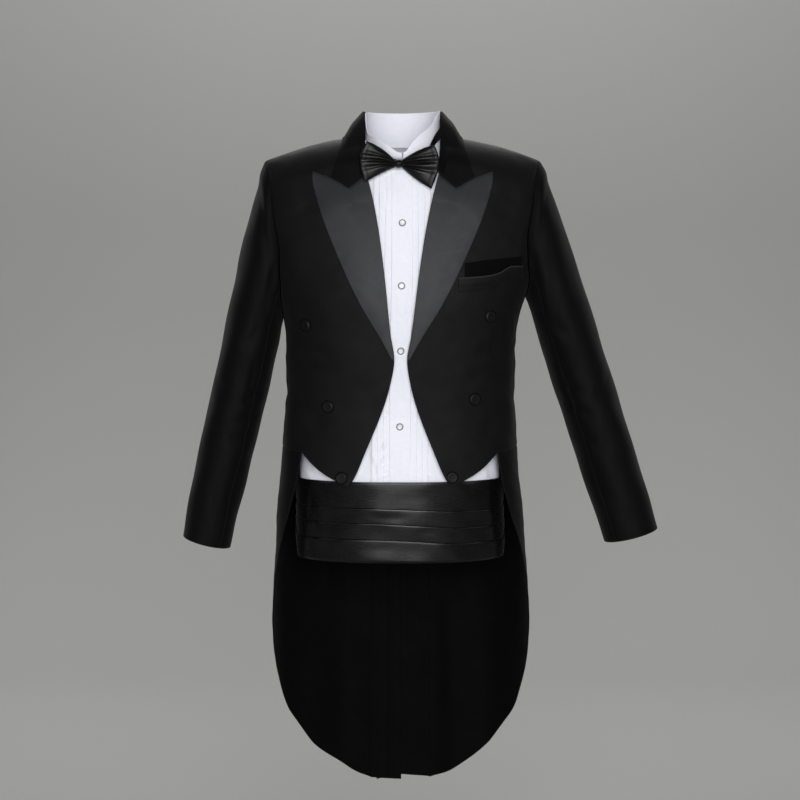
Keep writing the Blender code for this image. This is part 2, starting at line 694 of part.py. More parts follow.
def add_sleeves(side):
    surface = sleeve_surface(side)
    angles = armhole_angles()[:-1]
    downs = [share ** SLEEVE_CROWDING for share in steps(0.0, 1.0, SLEEVE_ROWS)]
    outer = []
    inner = []
    for down in downs:
        outer_row = []
        inner_row = []
        for angle in angles:
            spot = surface(angle, down)
            around = surface(angle + 2.0, down) - surface(angle - 2.0, down)
            along = surface(angle, min(down + 0.01, 1.0)) - surface(angle, max(down - 0.01, 0.0))
            normal = around.cross(along).normalized()
            middle = (surface(0.0, down) + surface(180.0, down)) / 2
            if normal.dot(spot - middle) < 0.0:
                normal = -normal
            if down == 0.0:
                normal = Vector((0.0, normal.y, normal.z)).normalized()
            outer_row.append(spot)
            inner_row.append(spot - normal * WOOL)
        outer.append(outer_row)
        inner.append(inner_row)
    under = list(range(UNDERSLEEVE_FROM, UNDERSLEEVE_TO + 1))
    top = [k % len(angles) for k in range(UNDERSLEEVE_TO, len(angles) + UNDERSLEEVE_FROM + 1)]
    for stem, columns in (("coat_sleeve_top", top), ("coat_sleeve_under", under)):
        name = f"{stem}_{side['name']}"
        outer_part = [[row[k].copy() for k in columns] for row in outer]
        inner_part = [[row[k].copy() for k in columns] for row in inner]
        pull_in_edges(outer_part, inner_part, ("top", "left", "right"))
        add_piece(name, wall_mesh(name, outer_part, inner_part), "wool")


# The coat's collar and lapels

# Half of the collar, from the centre back to the gorge: neck seam, crease and falling edge
COLLAR_STATIONS = [
    {"at": 0.0, "neck": 180.0, "crease": (0.0000, 0.0670, 0.0420), "edge": 180.0},
    {"at": 1.0, "neck": 150.0, "crease": (0.0320, 0.0575, 0.0435), "edge": 150.0},
    {"at": 2.0, "neck": 120.0, "crease": (0.0545, 0.0350, 0.0460), "edge": 120.0},
    {"at": 3.0, "neck": 90.1, "crease": (0.0628, 0.0040, 0.0470), "edge": 90.1},
    {"at": 3.5, "neck": -0.004, "crease": (0.0627, -0.0090, 0.0420), "edge": (0.0955, -0.0011)},
    {"at": 4.0, "neck": -0.012, "crease": (0.0622, -0.0220, 0.0340), "edge": (0.0990, -0.0175)},
    {"at": 5.0, "neck": -0.030, "crease": (0.0605, -0.0450, 0.0100), "edge": (0.1045, -0.0350)},
    {"at": 6.0, "neck": -0.045, "crease": (0.0585, -0.0670, -0.0200), "edge": (0.1095, -0.0500)},
    {"at": 7.0, "neck": -0.056, "crease": (0.0565, -0.0865, -0.0525), "edge": (0.1140, -0.0615)},
]
# The falling edge's oval behind the shoulder line
COLLAR_FALL = {"half_width": 0.0925, "front": 0.0, "back": 0.0760}
GORGE = {"x": 0.0560, "z": -0.0580}
NOTCH = {"x": 0.0840, "z": -0.0780}
COLLAR_CORNER = {"x": 0.1140, "z": -0.0620}
COLLAR_WALL = 0.0018
COLLAR_CREASE = 2
COLLAR_STEPS = 16
FALL_BULGE = 0.003
# How far the falling part clears the coat, from near the crease out to its edge
FALL_HEIGHTS = [0.0040, 0.0034, 0.0024, 0.0012]

LAPEL_EDGE = [
    {"z": -0.0530, "x": 0.1417},
    {"z": -0.0633, "x": 0.1418},
    {"z": -0.0910, "x": 0.1362},
    {"z": -0.1340, "x": 0.1220},
    {"z": -0.2070, "x": 0.0911},
    {"z": -0.2595, "x": 0.0653},
    {"z": -0.3150, "x": 0.0320},
    {"z": -0.3470, "x": 0.0145},
]
LAPEL_WALL = 0.0018
LAPEL_BELLY = 0.003
LAPEL_EDGE_LIFT = 0.0008
LAPEL_ROWS = 12


def on_coat(x, z, behind=False, out=0.0):
    return coat.point(*coat.place(x, z, behind), out)


def collar_line(station):
    """The middle of the collar's cloth at one station: neck seam, stand, crease, fall, edge."""
    lift = LAP_GAP + COLLAR_WALL / 2
    where = station["neck"]
    if where > 0.0:
        neck = coat.point(*neckline_spot(coat, COAT_NECK, where), lift)
        edge = coat.point(*neckline_spot(coat, COLLAR_FALL, station["edge"]), lift)
    else:
        neck = on_coat(curve_through(FRONT_EDGE, "z", "x")(where), where, out=lift)
        edge = on_coat(*station["edge"], out=lift)
    crease = Vector(station["crease"])
    if station["at"] == COLLAR_STATIONS[-1]["at"]:
        fall = on_coat(NOTCH["x"], NOTCH["z"] + 2 * SEAM_GAP, out=lift + LAPEL_EDGE_LIFT)
    else:
        fall = (crease + edge) / 2
        fall = fall + Vector((fall.x, fall.y, 0.05)).normalized() * FALL_BULGE
    stand = (neck + crease) / 2
    return [neck, stand, crease, (crease + fall) / 2, fall, (fall + edge) / 2, edge]


def lift_off_coat(spot, height):
    """Move a point out until it is this high over the coat's outer face."""
    for _ in range(3):
        behind = spot.y > 0.0
        if coat.ridge(spot.x, behind) < spot.z:
            break
        turn, fall = coat.place(spot.x - coat.sway(spot.z), spot.z, behind)
        normal = coat.normal(turn, fall)
        short = height - (spot - coat.surface(turn, fall)).dot(normal)
        if short <= 0.0:
            break
        spot = spot + normal * short
    return spot


def add_coat_collar():
    lines = [collar_line(station) for station in COLLAR_STATIONS]
    count = len(lines[0])
    between = []
    for at in steps(0.0, COLLAR_STATIONS[-1]["at"], COLLAR_STEPS):
        line = []
        for j in range(count):
            spot = []
            for axis in range(3):
                rows = [
                    {"at": station["at"], "value": spots[j][axis]}
                    for station, spots in zip(COLLAR_STATIONS, lines)
                ]
                spot.append(curve_through(rows, "at", "value")(at))
            line.append(Vector(spot))
        for j, height in enumerate(FALL_HEIGHTS, start=COLLAR_CREASE + 1):
            line[j] = lift_off_coat(line[j], height + COLLAR_WALL / 2)
        between.append(line)
    other = [[Vector((-p.x, p.y, p.z)) for p in line] for line in between[:0:-1]]
    grid = other + between
    sheet_wall("coat_collar", grid, COLLAR_WALL, "wool")


def add_lapel(side):
    """A peaked lapel, lying on the front from the roll line out to its edge."""
    roll_x = curve_through(FRONT_EDGE, "z", "x")
    edge_x = curve_through(LAPEL_EDGE, "z", "x")
    inner = [coat.place(roll_x(z), z) for z in steps(GORGE["z"], BREAK_POINT["z"], LAPEL_ROWS)]
    outer = [coat.place(edge_x(z), z) for z in steps(LAPEL_EDGE[0]["z"], LAPEL_EDGE[-1]["z"], LAPEL_ROWS)]
    tip = LAPEL_EDGE[0]
    corners = [GORGE, NOTCH, COLLAR_CORNER, tip]
    top = []
    for start, end in zip(corners, corners[1:]):
        for share in (0.0, 0.5):
            top.append(coat.place(mix(start["x"], end["x"], share), mix(start["z"], end["z"], share)))
    top.append(outer[0])
    bottom = straight(inner[-1], outer[-1], len(top) - 1)
    grid = patch(inner, outer, top, bottom)
    heights = []
    for i, row in enumerate(grid):
        narrowing = 1.0 - i / LAPEL_ROWS
        heights.append([])
        for j in range(len(row)):
            u = j / (len(row) - 1)
            belly = LAPEL_BELLY * math.sin(math.pi * u) * math.sqrt(narrowing) * min(i, 2) / 2
            heights[i].append(LAP_GAP + LAPEL_WALL + belly + LAPEL_EDGE_LIFT * u)
    if side["name"] == "right":
        grid = [mirrored(row) for row in grid]
    name = f"coat_lapel_{side['name']}"
    trunk_wall(name, coat, grid, LAPEL_WALL, "lapel_wool", ("top",), heights)


# The breast pocket on the wearer's left, gaping a little

POCKET_TOP = [
    {"x": 0.0985, "z": -0.1965},
    {"x": 0.1340, "z": -0.1916},
    {"x": 0.1900, "z": -0.1860},
]
WELT_TOP = [
    {"x": 0.0885, "z": -0.2195},
    {"x": 0.1340, "z": -0.2156},
    {"x": 0.1490, "z": -0.2121},
    {"x": 0.1740, "z": -0.2005},
    {"x": 0.1925, "z": -0.2010},
]
WELT_HEIGHT = 0.022
WELT_WALL = 0.0015
WELT_GAPE = 0.0028
FACING_WALL = 0.0010
FACING_BELOW = 0.004
POCKET_STEPS = 8


def add_pocket():
    top_z = curve_through(POCKET_TOP, "x", "z")
    welt_z = curve_through(WELT_TOP, "x", "z")
    facing = []
    for share in (0.0, 0.5, 1.0):
        xs = steps(POCKET_TOP[0]["x"], POCKET_TOP[-1]["x"], POCKET_STEPS)
        facing.append([coat.place(x, mix(top_z(x), welt_z(x) - FACING_BELOW, share)) for x in xs])
    flat = [[LAP_GAP + FACING_WALL] * (POCKET_STEPS + 1)] * 3
    trunk_wall("coat_pocket_facing", coat, facing, FACING_WALL, "wool", (), flat)
    welt = []
    heights = []
    for share in (0.0, 0.4, 1.0):
        xs = steps(WELT_TOP[0]["x"], WELT_TOP[-1]["x"], POCKET_STEPS)
        welt.append([coat.place(x, welt_z(x) - WELT_HEIGHT * share) for x in xs])
        row = []
        for k in range(POCKET_STEPS + 1):
            gape = WELT_GAPE * math.sin(math.pi * k / POCKET_STEPS) * (1.0 - share)
            over_facing = (LAP_GAP + FACING_WALL) * (1.0 if share < 0.5 else 0.0)
            row.append(LAP_GAP + WELT_WALL + over_facing + gape)
        heights.append(row)
    trunk_wall("coat_pocket_welt", coat, welt, WELT_WALL, "wool", (), heights)


# Buttons, turned from a half profile and set on the cloth

COAT_BUTTON_RADIUS = 0.0100
# Share of the radius and height, from the crown round the rim to the back
COAT_BUTTON_PROFILE = [
    (0.00, 0.0052),
    (0.50, 0.0048),
    (0.85, 0.0034),
    (1.00, 0.0018),
    (0.92, 0.0004),
    (0.00, 0.0000),
]
COAT_BUTTONS = [
    {"side": -1, "x": 0.1505, "z": -0.2949},
    {"side": -1, "x": 0.1138, "z": -0.4232},
    {"side": -1, "x": 0.0923, "z": -0.5365},
    {"side": 1, "x": 0.1403, "z": -0.2805},
    {"side": 1, "x": 0.1180, "z": -0.4113},
    {"side": 1, "x": 0.0833, "z": -0.5352},
]
SHIRT_BUTTON_RADIUS = 0.0058
SHIRT_BUTTON_PROFILE = [
    (0.00, 0.0012),
    (0.62, 0.0012),
    (0.74, 0.0020),
    (0.93, 0.0019),
    (1.00, 0.0010),
    (0.00, 0.0000),
]
SHIRT_BUTTON_HEIGHTS = [-0.134, -0.232, -0.334, -0.4545]
BUTTON_SIDES = 16


def add_button(name, spot, normal, radius, profile, kind):
    mesh = bpy.data.meshes.new(name)
    bm = bmesh.new()
    points = [bm.verts.new((share * radius, 0.0, height)) for share, height in profile]
    for start, end in zip(points, points[1:]):
        bm.edges.new((start, end))
    bm.to_mesh(mesh)
    bm.free()
    button = add_piece(name, mesh, kind)
    button.location = spot
    button.rotation_euler = normal.to_track_quat("Z", "Y").to_euler()
    screw = button.modifiers.new("turned", "SCREW")
    screw.steps = BUTTON_SIDES
    screw.render_steps = BUTTON_SIDES
    screw.use_merge_vertices = True
    screw.merge_threshold = 0.00001


def add_buttons():
    counts = {-1: 0, 1: 0}
    for row in COAT_BUTTONS:
        counts[row["side"]] += 1
        turn, fall = coat.place(row["side"] * row["x"], row["z"])
        wearer = "right" if row["side"] < 0 else "left"
        name = f"coat_button_{wearer}_{counts[row['side']]}"
        spot = coat.point(turn, fall, LAP_GAP)
        add_button(name, spot, coat.normal(turn, fall), COAT_BUTTON_RADIUS, COAT_BUTTON_PROFILE, "covered")
    for k, z in enumerate(SHIRT_BUTTON_HEIGHTS, start=1):
        turn, fall = shirt.place(0.0, z)
        spot = shirt.point(turn, fall, COTTON + 2 * LAP_GAP)
        normal = shirt.normal(turn, fall)
        add_button(f"shirt_button_{k}", spot, normal, SHIRT_BUTTON_RADIUS, SHIRT_BUTTON_PROFILE, "pearl")


# The dress shirt: a pleated front, a placket, a back and a standing collar

SHIRT_NECK = {"half_width": 0.0600, "front": 0.0640, "back": 0.0560}
SHIRT_HEM_Z = -0.655
PLACKET_HALF = 0.0166
PLACKET_TOP = -0.0500
PLEAT_EDGES = [0.0262, 0.0361, 0.0444]
PLEAT_START = 0.0168
PLEAT_RISE = 0.0012
PLEAT_STEP = 0.0004
SHIRT_ARMHOLE = [
    {"z": -0.0245, "turn": 54.6},
    {"z": -0.0800, "turn": 50.3},
    {"z": -0.1400, "turn": 51.3},
    {"z": -0.1900, "turn": 56.4},
    {"z": -0.2250, "turn": 66.0},
    {"z": -0.2500, "turn": 80.0},
    {"z": -0.2620, "turn": 90.0},
]
SHIRT_ARM_STEPS = 7
SHIRT_SIDE_STEPS = 7
SHIRT_SIDE_COLUMNS = 4


def shirt_edge():
    """The armhole and side seam, by (turn, fall), as the front's outer edge."""
    turn_at = curve_through(SHIRT_ARMHOLE, "z", "turn")
    heights = steps(SHIRT_ARMHOLE[0]["z"], SHIRT_ARMHOLE[-1]["z"], SHIRT_ARM_STEPS)
    heights += steps(SHIRT_ARMHOLE[-1]["z"], SHIRT_HEM_Z, SHIRT_SIDE_STEPS)[1:]
    edge = []
    for z in heights:
        turn = turn_at(z)
        x = shirt.half_width(z) * math.sin(math.radians(turn)) ** (2.0 / SQUARENESS)
        edge.append((turn, max(shirt.place(x, z)[1], RIDGE_FALL)))
    edge[0] = (edge[0][0], RIDGE_FALL)
    return edge


def shirt_neck_z(x):
    """Height of the front neckline at x from the centre."""
    angle = math.degrees(math.asin(min(x / SHIRT_NECK["half_width"], 1.0)))
    return shirt.surface(*neckline_spot(shirt, SHIRT_NECK, angle)).z


def add_shirt_fronts():
    edge = shirt_edge()
    columns = [(0.0, 0.0), (PLEAT_START, 0.0)]
    for x in PLEAT_EDGES:
        columns += [(x, PLEAT_RISE), (x + PLEAT_STEP, 0.0)]
    columns.append((SHIRT_NECK["half_width"], 0.0))
    last = len(edge) - 1
    for side in SIDES:
        grid = []
        heights = []
        for i, outer in enumerate(edge):
            row = [shirt.place(x, mix(shirt_neck_z(x), SHIRT_HEM_Z, i / last)) for x, _ in columns]
            if i == 0:
                row[-1] = (row[-1][0], RIDGE_FALL)
            row += straight(row[-1], outer, SHIRT_SIDE_COLUMNS)[1:]
            grid.append(row if side["name"] == "left" else mirrored(row))
            heights.append([rise for _, rise in columns] + [0.0] * SHIRT_SIDE_COLUMNS)
        name = f"shirt_front_{side['name']}"
        trunk_wall(name, shirt, grid, COTTON, "cotton", ("top", "left", "right"), heights, -COTTON)


def add_placket():
    xs = steps(-PLACKET_HALF, PLACKET_HALF, 4)
    rows = SHIRT_ARM_STEPS + SHIRT_SIDE_STEPS
    zs = [PLACKET_TOP] + steps(shirt_neck_z(0.0), SHIRT_HEM_Z, rows)[1:]
    grid = [[shirt.place(x, z) for x in xs] for z in zs]
    heights = [[COTTON + LAP_GAP] * len(xs)] * len(zs)
    trunk_wall("shirt_placket", shirt, grid, COTTON, "cotton", (), heights)


def add_shirt_back():
    left = [(180.0 - turn, fall) for turn, fall in shirt_edge()]
    right = [(360.0 - turn, fall) for turn, fall in left]
    shoulder = straight(left[0], (neckline_spot(shirt, SHIRT_NECK, 90.1)[0], RIDGE_FALL), 4)
    neck = [neckline_spot(shirt, SHIRT_NECK, angle) for angle in steps(90.1, 180.0, 4)[1:]]
    neck[-1] = (180.0, neck[-1][1])
    half = shoulder + neck
    top = half + [(360.0 - turn, fall) for turn, fall in half[-2::-1]]
    bottom = straight(left[-1], right[-1], len(top) - 1)
    grid = patch(left, right, top, bottom)
    trunk_wall("shirt_back", shirt, grid, COTTON, "cotton", ("top", "left", "right"))


COLLAR_BAND = {"half_width": 0.0598, "front": 0.0665, "back": 0.0570}
# The band's upper edge dips to the front; the wearer's right side (minus) dips further round
COLLAR_BAND_TOP = [
    {"angle": -176, "z": 0.0470},
    {"angle": -110, "z": 0.0465},
    {"angle": -90, "z": 0.0430},
    {"angle": -78, "z": 0.0260},
    {"angle": -64, "z": 0.0070},
    {"angle": -45, "z": -0.0030},
    {"angle": -25, "z": -0.0130},
    {"angle": -3, "z": -0.0225},
    {"angle": 3, "z": -0.0215},
    {"angle": 15, "z": -0.0050},
    {"angle": 28, "z": 0.0100},
    {"angle": 52, "z": 0.0240},
    {"angle": 70, "z": 0.0400},
    {"angle": 88, "z": 0.0480},
    {"angle": 110, "z": 0.0480},
    {"angle": 176, "z": 0.0470},
]
COLLAR_BAND_STEPS = 28
FRONT_SLIT = 1.0


def ring_point(ring, angle, z):
    swing = math.radians(angle)
    depth = ring["front"] if math.cos(swing) > 0.0 else ring["back"]
    return Vector((ring["half_width"] * math.sin(swing), -depth * math.cos(swing), z))


def add_shirt_collar():
    top_z = curve_through(COLLAR_BAND_TOP, "angle", "z")
    angles = steps(FRONT_SLIT, 360.0 - FRONT_SLIT, COLLAR_BAND_STEPS)
    rows = [[], [], []]
    for angle in angles:
        signed = angle if angle <= 180.0 else angle - 360.0
        turn, fall = neckline_spot(shirt, SHIRT_NECK, signed)
        low = shirt.point(turn, fall, 1.5 * LAP_GAP + COTTON / 2)
        high = ring_point(COLLAR_BAND, angle, top_z(signed))
        middle = ring_point(COLLAR_BAND, angle, (low.z + high.z) / 2)
        rows[0].append(high)
        rows[1].append(middle)
        rows[2].append(low)
    sheet_wall("shirt_collar", rows, COTTON, "cotton")


# The bow tie, on its band round the collar

BOW_BAND_WALL = 0.0012
BOW_RING = {"half_width": 0.0621, "front": 0.0705, "back": 0.0592}
BOW_BAND = [
    {"angle": 0, "z": -0.0330, "half_height": 0.0045},
    {"angle": 40, "z": -0.0120, "half_height": 0.0060},
    {"angle": 90, "z": 0.0180, "half_height": 0.0080},
    {"angle": 180, "z": 0.0220, "half_height": 0.0080},
]
KNOT = {"x": -0.0066, "y": -0.0826, "z": -0.0405, "width": 0.0145, "depth": 0.0222, "height": 0.0140}
# Each wing, pinched at the knot: its upper and lower lines and the middle of its end
BOW_WINGS = [
    {
        "name": "right",
        "top": [(-0.0142, -0.0350), (-0.0340, -0.0165), (-0.0560, -0.0061)],
        "bottom": [(-0.0142, -0.0460), (-0.0340, -0.0560), (-0.0598, -0.0700)],
        "end": (-0.0670, -0.0352),
    },
    {
        "name": "left",
        "top": [(0.0010, -0.0350), (0.0255, -0.0195), (0.0500, -0.0118)],
        "bottom": [(0.0010, -0.0460), (0.0215, -0.0650), (0.0455, -0.0800)],
        "end": (0.0573, -0.0414),
    },
]
WING_BACK_AT_KNOT = -0.0790
WING_BACK_AT_END = -0.0925
WING_THICK = 0.0075
WING_RIM = 0.0020
WING_ALONG = 8
WING_ACROSS = 12
# Folds that run out from the knot: how many, how deep, and how full the cloth is at the knot
WING_FOLDS = 3
WING_FOLD_DEPTH = 0.45
WING_FULL_AT_KNOT = 0.35
KNOT_ROUNDING = 0.0028
BOW_BAND_STEPS = 28


def bent_line(points, share):
    """A curve that passes through three points at 0, a half and 1."""
    start, middle, end = [Vector(p) for p in points]
    handle = 2 * middle - (start + end) / 2
    return start * (1 - share) ** 2 + handle * 2 * share * (1 - share) + end * share ** 2


def add_bow():
    for wing in BOW_WINGS:
        front = []
        back = []
        for u in steps(0.0, 1.0, WING_ALONG):
            upper = bent_line(wing["top"], u)
            lower = bent_line(wing["bottom"], u)
            end_middle = (Vector(wing["top"][2]) + Vector(wing["bottom"][2])) / 2
            bulge = Vector(wing["end"]) - end_middle
            front.append([])
            back.append([])
            for v in steps(0.0, 1.0, WING_ACROSS):
                across = math.sin(math.pi * v)
                spot = upper.lerp(lower, v) + bulge * across * u * u
                y = mix(WING_BACK_AT_KNOT, WING_BACK_AT_END, u)
                folds = 0.5 + 0.5 * math.cos(2 * WING_FOLDS * math.pi * v)
                swell = mix(WING_FULL_AT_KNOT, 1.0, math.sin(math.pi * min(u + 0.15, 1.0)))
                full = WING_THICK * swell * across ** 0.6
                thick = WING_RIM + full * (1.0 - WING_FOLD_DEPTH * folds * (1.0 - u / 2))
                front[-1].append(Vector((spot.x, y - thick, spot.y)))
                back[-1].append(Vector((spot.x, y, spot.y)))
        name = f"bow_wing_{wing['name']}"
        add_piece(name, wall_mesh(name, front, back), "satin")

    bpy.ops.mesh.primitive_cube_add(size=1.0, location=(KNOT["x"], KNOT["y"], KNOT["z"]))
    knot = bpy.context.object
    knot.name = "bow_knot"
    for owner in list(knot.users_collection):
        owner.objects.unlink(knot)
    collection.objects.link(knot)
    knot.data.transform(Matrix.Diagonal((KNOT["width"], KNOT["depth"], KNOT["height"], 1.0)))
    bevel = knot.modifiers.new("rounded", "BEVEL")
    bevel.width = KNOT_ROUNDING
    bevel.segments = 3
    knot.data.materials.append(new_material("satin"))

    half_height = curve_through(BOW_BAND, "angle", "half_height")
    middle_z = curve_through(BOW_BAND, "angle", "z")
    rows = [[], []]
    for angle in steps(0.0, 360.0, BOW_BAND_STEPS)[:-1]:
        turned = min(angle, 360.0 - angle)
        rows[0].append(ring_point(BOW_RING, angle, middle_z(turned) + half_height(turned)))
        rows[1].append(ring_point(BOW_RING, angle, middle_z(turned) - half_height(turned)))
    sheet_wall("bow_band", rows, BOW_BAND_WALL, "satin", closed=True)


# The cummerbund: a pleated satin front and a strap behind

CUMMERBUND_PLEATS = [
    {"top": -0.5430, "bottom": -0.5860},
    {"top": -0.5860, "bottom": -0.6110},
    {"top": -0.6110, "bottom": -0.6370},
    {"top": -0.6370, "bottom": -0.6725},
]
CUMMERBUND_TURN = 100.0
TAPER_FROM = 78.0
CUMMERBUND_COLUMNS = 20
CUMMERBUND_BASE = COTTON + 3 * LAP_GAP
CUMMERBUND_WALL = 0.0012
PLEAT_TOP_STAND = 0.0022
PLEAT_MIDDLE_STAND = 0.0014
PLEAT_FOOT_STAND = 0.0006
STRAP_HALF_HEIGHT = 0.020
STRAP_STEPS = 12


def add_cummerbund():
    rows = []
    for k, pleat in enumerate(CUMMERBUND_PLEATS):
        rows.append((pleat["top"], PLEAT_TOP_STAND))
        rows.append((mix(pleat["top"], pleat["bottom"], 0.5), PLEAT_MIDDLE_STAND))
        is_last = k == len(CUMMERBUND_PLEATS) - 1
        rows.append((pleat["bottom"] + (0.0 if is_last else PLEAT_FOOT_STAND), PLEAT_FOOT_STAND))
    middle = (rows[0][0] + rows[-1][0]) / 2
    turns = steps(-CUMMERBUND_TURN, CUMMERBUND_TURN, CUMMERBUND_COLUMNS)
    grid = []
    heights = []
    for z, stand in rows:
        line = []
        for turn in turns:
            narrowed = ease((abs(turn) - TAPER_FROM) / (CUMMERBUND_TURN - TAPER_FROM))
            share = mix(1.0, STRAP_HALF_HEIGHT * 2 / (rows[0][0] - rows[-1][0]), narrowed)
            height = middle + (z - middle) * share
            x = shirt.half_width(height) * math.sin(math.radians(abs(turn))) ** (2.0 / SQUARENESS)
            fall = shirt.place(x, height, abs(turn) > 90.0)[1]
            line.append((turn, fall))
        grid.append(line)
        heights.append([CUMMERBUND_BASE + CUMMERBUND_WALL + stand] * len(turns))
    trunk_wall("cummerbund_front", shirt, grid, 0.0, "satin", ("left", "right"), heights, CUMMERBUND_BASE)

    strap = []
    for z in (middle + STRAP_HALF_HEIGHT, middle, middle - STRAP_HALF_HEIGHT):
        line = []
        for turn in steps(CUMMERBUND_TURN, 360.0 - CUMMERBUND_TURN, STRAP_STEPS):
            near = min(turn, 360.0 - turn)
            x = shirt.half_width(z) * math.sin(math.radians(near)) ** (2.0 / SQUARENESS)
            line.append((turn, shirt.place(x, z, behind=True)[1]))
        strap.append(line)
    flat = [[CUMMERBUND_BASE + CUMMERBUND_WALL] * len(strap[0])] * 3
    trunk_wall("cummerbund_strap", shirt, strap, CUMMERBUND_WALL, "satin", ("left", "right"), flat)


clear_scene()
collection = bpy.data.collections.new(OBJECT_NAME)
bpy.context.scene.collection.children.link(collection)
coat = Trunk(COAT_SECTIONS, BACK_NECK_LINE, folds=TAIL_FOLDS)
shirt = Trunk(SHIRT_SECTIONS, SHIRT_BACK_NECK_LINE, lower_by=SHIRT_BELOW_COAT)

for coat_side in SIDES:
    add_coat_body(coat_side)
    add_sleeves(coat_side)
    add_lapel(coat_side)
add_coat_collar()
add_pocket()
add_buttons()
add_shirt_fronts()
add_placket()
add_shirt_back()
add_shirt_collar()
add_bow()
add_cummerbund()
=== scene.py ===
"""Evening tailcoat over a pleated dress shirt, with bow tie and cummerbund, hollow as if worn.

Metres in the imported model's frame: +Z up, the suit faces -Y, the wearer's right is at -X.
"""
import math

import bpy
import numpy as np
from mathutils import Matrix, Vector


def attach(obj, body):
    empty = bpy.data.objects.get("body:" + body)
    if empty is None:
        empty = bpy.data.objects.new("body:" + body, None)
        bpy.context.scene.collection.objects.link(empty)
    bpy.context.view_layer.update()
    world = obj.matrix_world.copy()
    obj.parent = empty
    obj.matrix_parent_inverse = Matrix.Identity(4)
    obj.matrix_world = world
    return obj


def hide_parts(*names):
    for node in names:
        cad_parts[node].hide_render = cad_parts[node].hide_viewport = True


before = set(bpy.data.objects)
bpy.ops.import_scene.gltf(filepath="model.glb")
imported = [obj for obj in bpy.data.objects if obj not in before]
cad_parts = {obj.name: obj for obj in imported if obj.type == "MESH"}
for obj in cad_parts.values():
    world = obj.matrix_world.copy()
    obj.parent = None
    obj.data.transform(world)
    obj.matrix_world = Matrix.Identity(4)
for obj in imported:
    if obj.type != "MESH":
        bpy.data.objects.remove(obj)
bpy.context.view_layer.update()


# The room: a pale paper sweep, floor and wall in one curve, so that no seam shows behind the
# suit. Wide soft boxes light the suit, mostly from the front, and one more lights the paper.

def table(columns, rows):
    """Rows of values under named columns."""
    return [dict(zip(columns.split(), row)) for row in rows]


def linear(hex_code):
    """An sRGB hex colour as the linear values that a shader takes, opaque."""
    channels = [int(hex_code[i:i + 2], 16) / 255 for i in (1, 3, 5)]
    return *(c / 12.92 if c <= 0.04045 else ((c + 0.055) / 1.055) ** 2.4 for c in channels), 1.0


def set_inputs(material, node, inputs):
    """Give a node's inputs their values, or link them to another node's output."""
    for name, value in inputs.items():
        if isinstance(value, bpy.types.NodeSocket):
            material.node_tree.links.new(value, node.inputs[name])
        else:
            node.inputs[name].default_value = value


def new_finish(name, colour, values):
    """A material of one base colour, with the shader's own sockets set by name."""
    material = bpy.data.materials.new(name)
    material.use_nodes = True
    shader = material.node_tree.nodes["Principled BSDF"]
    set_inputs(material, shader, {"Base Color": linear(colour), **values})
    return material, shader


# Edges that turn by more degrees than this stay sharp
SHARP_FROM = 60


def build(name, points, faces, material, cloth=None, inset=None):
    """A smooth mesh of quads, with its cloth coordinates and distance from its edges, in metres."""
    mesh = bpy.data.meshes.new(name)
    mesh.from_pydata(np.asarray(points).tolist(), [], faces.tolist())
    mesh.update()
    mesh.shade_smooth()
    mesh.set_sharp_from_angle(angle=math.radians(SHARP_FROM))
    if cloth is not None:
        layer = mesh.uv_layers.new(name="cloth")
        layer.data.foreach_set("uv", cloth[faces.ravel()].astype(np.float32).ravel())
        edge = mesh.attributes.new("inset", "FLOAT", "POINT")
        edge.data.foreach_set("value", inset.astype(np.float32))
    mesh.materials.append(material)
    piece = bpy.data.objects.new(name, mesh)
    bpy.context.scene.collection.objects.link(piece)
    return piece


SWEEP_FLOOR = -1.46
SWEEP_FRONT = -4.5
SWEEP_BEND_AT = 2.6
SWEEP_BEND = 1.4
SWEEP_TOP = 3.5
SWEEP_HALF_WIDTH = 5.0
# Matt photographic paper: even, with no gloss
paper, _ = new_finish("matt grey-white sweep paper", "#A6A6A4", {"Roughness": 0.95})
sweep_line = [(SWEEP_FRONT, SWEEP_FLOOR)]
for angle in np.radians(np.linspace(0, 90, 25)):
    bend_y = SWEEP_BEND_AT + SWEEP_BEND * math.sin(angle)
    sweep_line.append((bend_y, SWEEP_FLOOR + SWEEP_BEND * (1 - math.cos(angle))))
sweep_line.append((SWEEP_BEND_AT + SWEEP_BEND, SWEEP_TOP))
sweep_points = [(x, y, z) for y, z in sweep_line for x in (-SWEEP_HALF_WIDTH, SWEEP_HALF_WIDTH)]
first = np.arange(len(sweep_line) - 1) * 2
sweep = build("paper_sweep", sweep_points, np.stack([first, first + 1, first + 3, first + 2], -1), paper)

# Each box: where it stands, what it points at, its width and height, and its power in watts
SOFT_BOXES = table("name at to size watts", [
    ("over_camera", (0.30, -3.7, 0.85), (0.0, 0.0, -0.40), (1.7, 1.2), 55),
    ("behind_camera", (0.0, -4.1, 0.0), (0.0, 0.0, -0.40), (2.0, 1.2), 74),
    ("low_front", (0.05, -3.9, -1.10), (0.0, 0.0, -0.60), (1.3, 0.5), 9),
    ("right_side", (2.9, -1.8, 0.5), (0.0, 0.0, -0.50), (1.2, 2.0), 9),
    ("left_side", (-3.0, -1.8, 0.5), (0.0, 0.0, -0.50), (1.2, 2.0), 7),
    ("over_back", (0.0, 2.5, 1.5), (0.0, 0.0, -0.45), (2.2, 1.2), 26),
    ("back_right", (-2.5, 2.5, 0.4), (0.0, 0.0, -0.50), (1.0, 1.8), 12),
    ("back_left", (2.7, 2.2, 0.4), (0.0, 0.0, -0.50), (1.0, 1.8), 10),
    ("on_paper", (0.0, 1.7, 2.9), (0.0, 4.0, 0.5), (4.0, 0.8), 90),
])
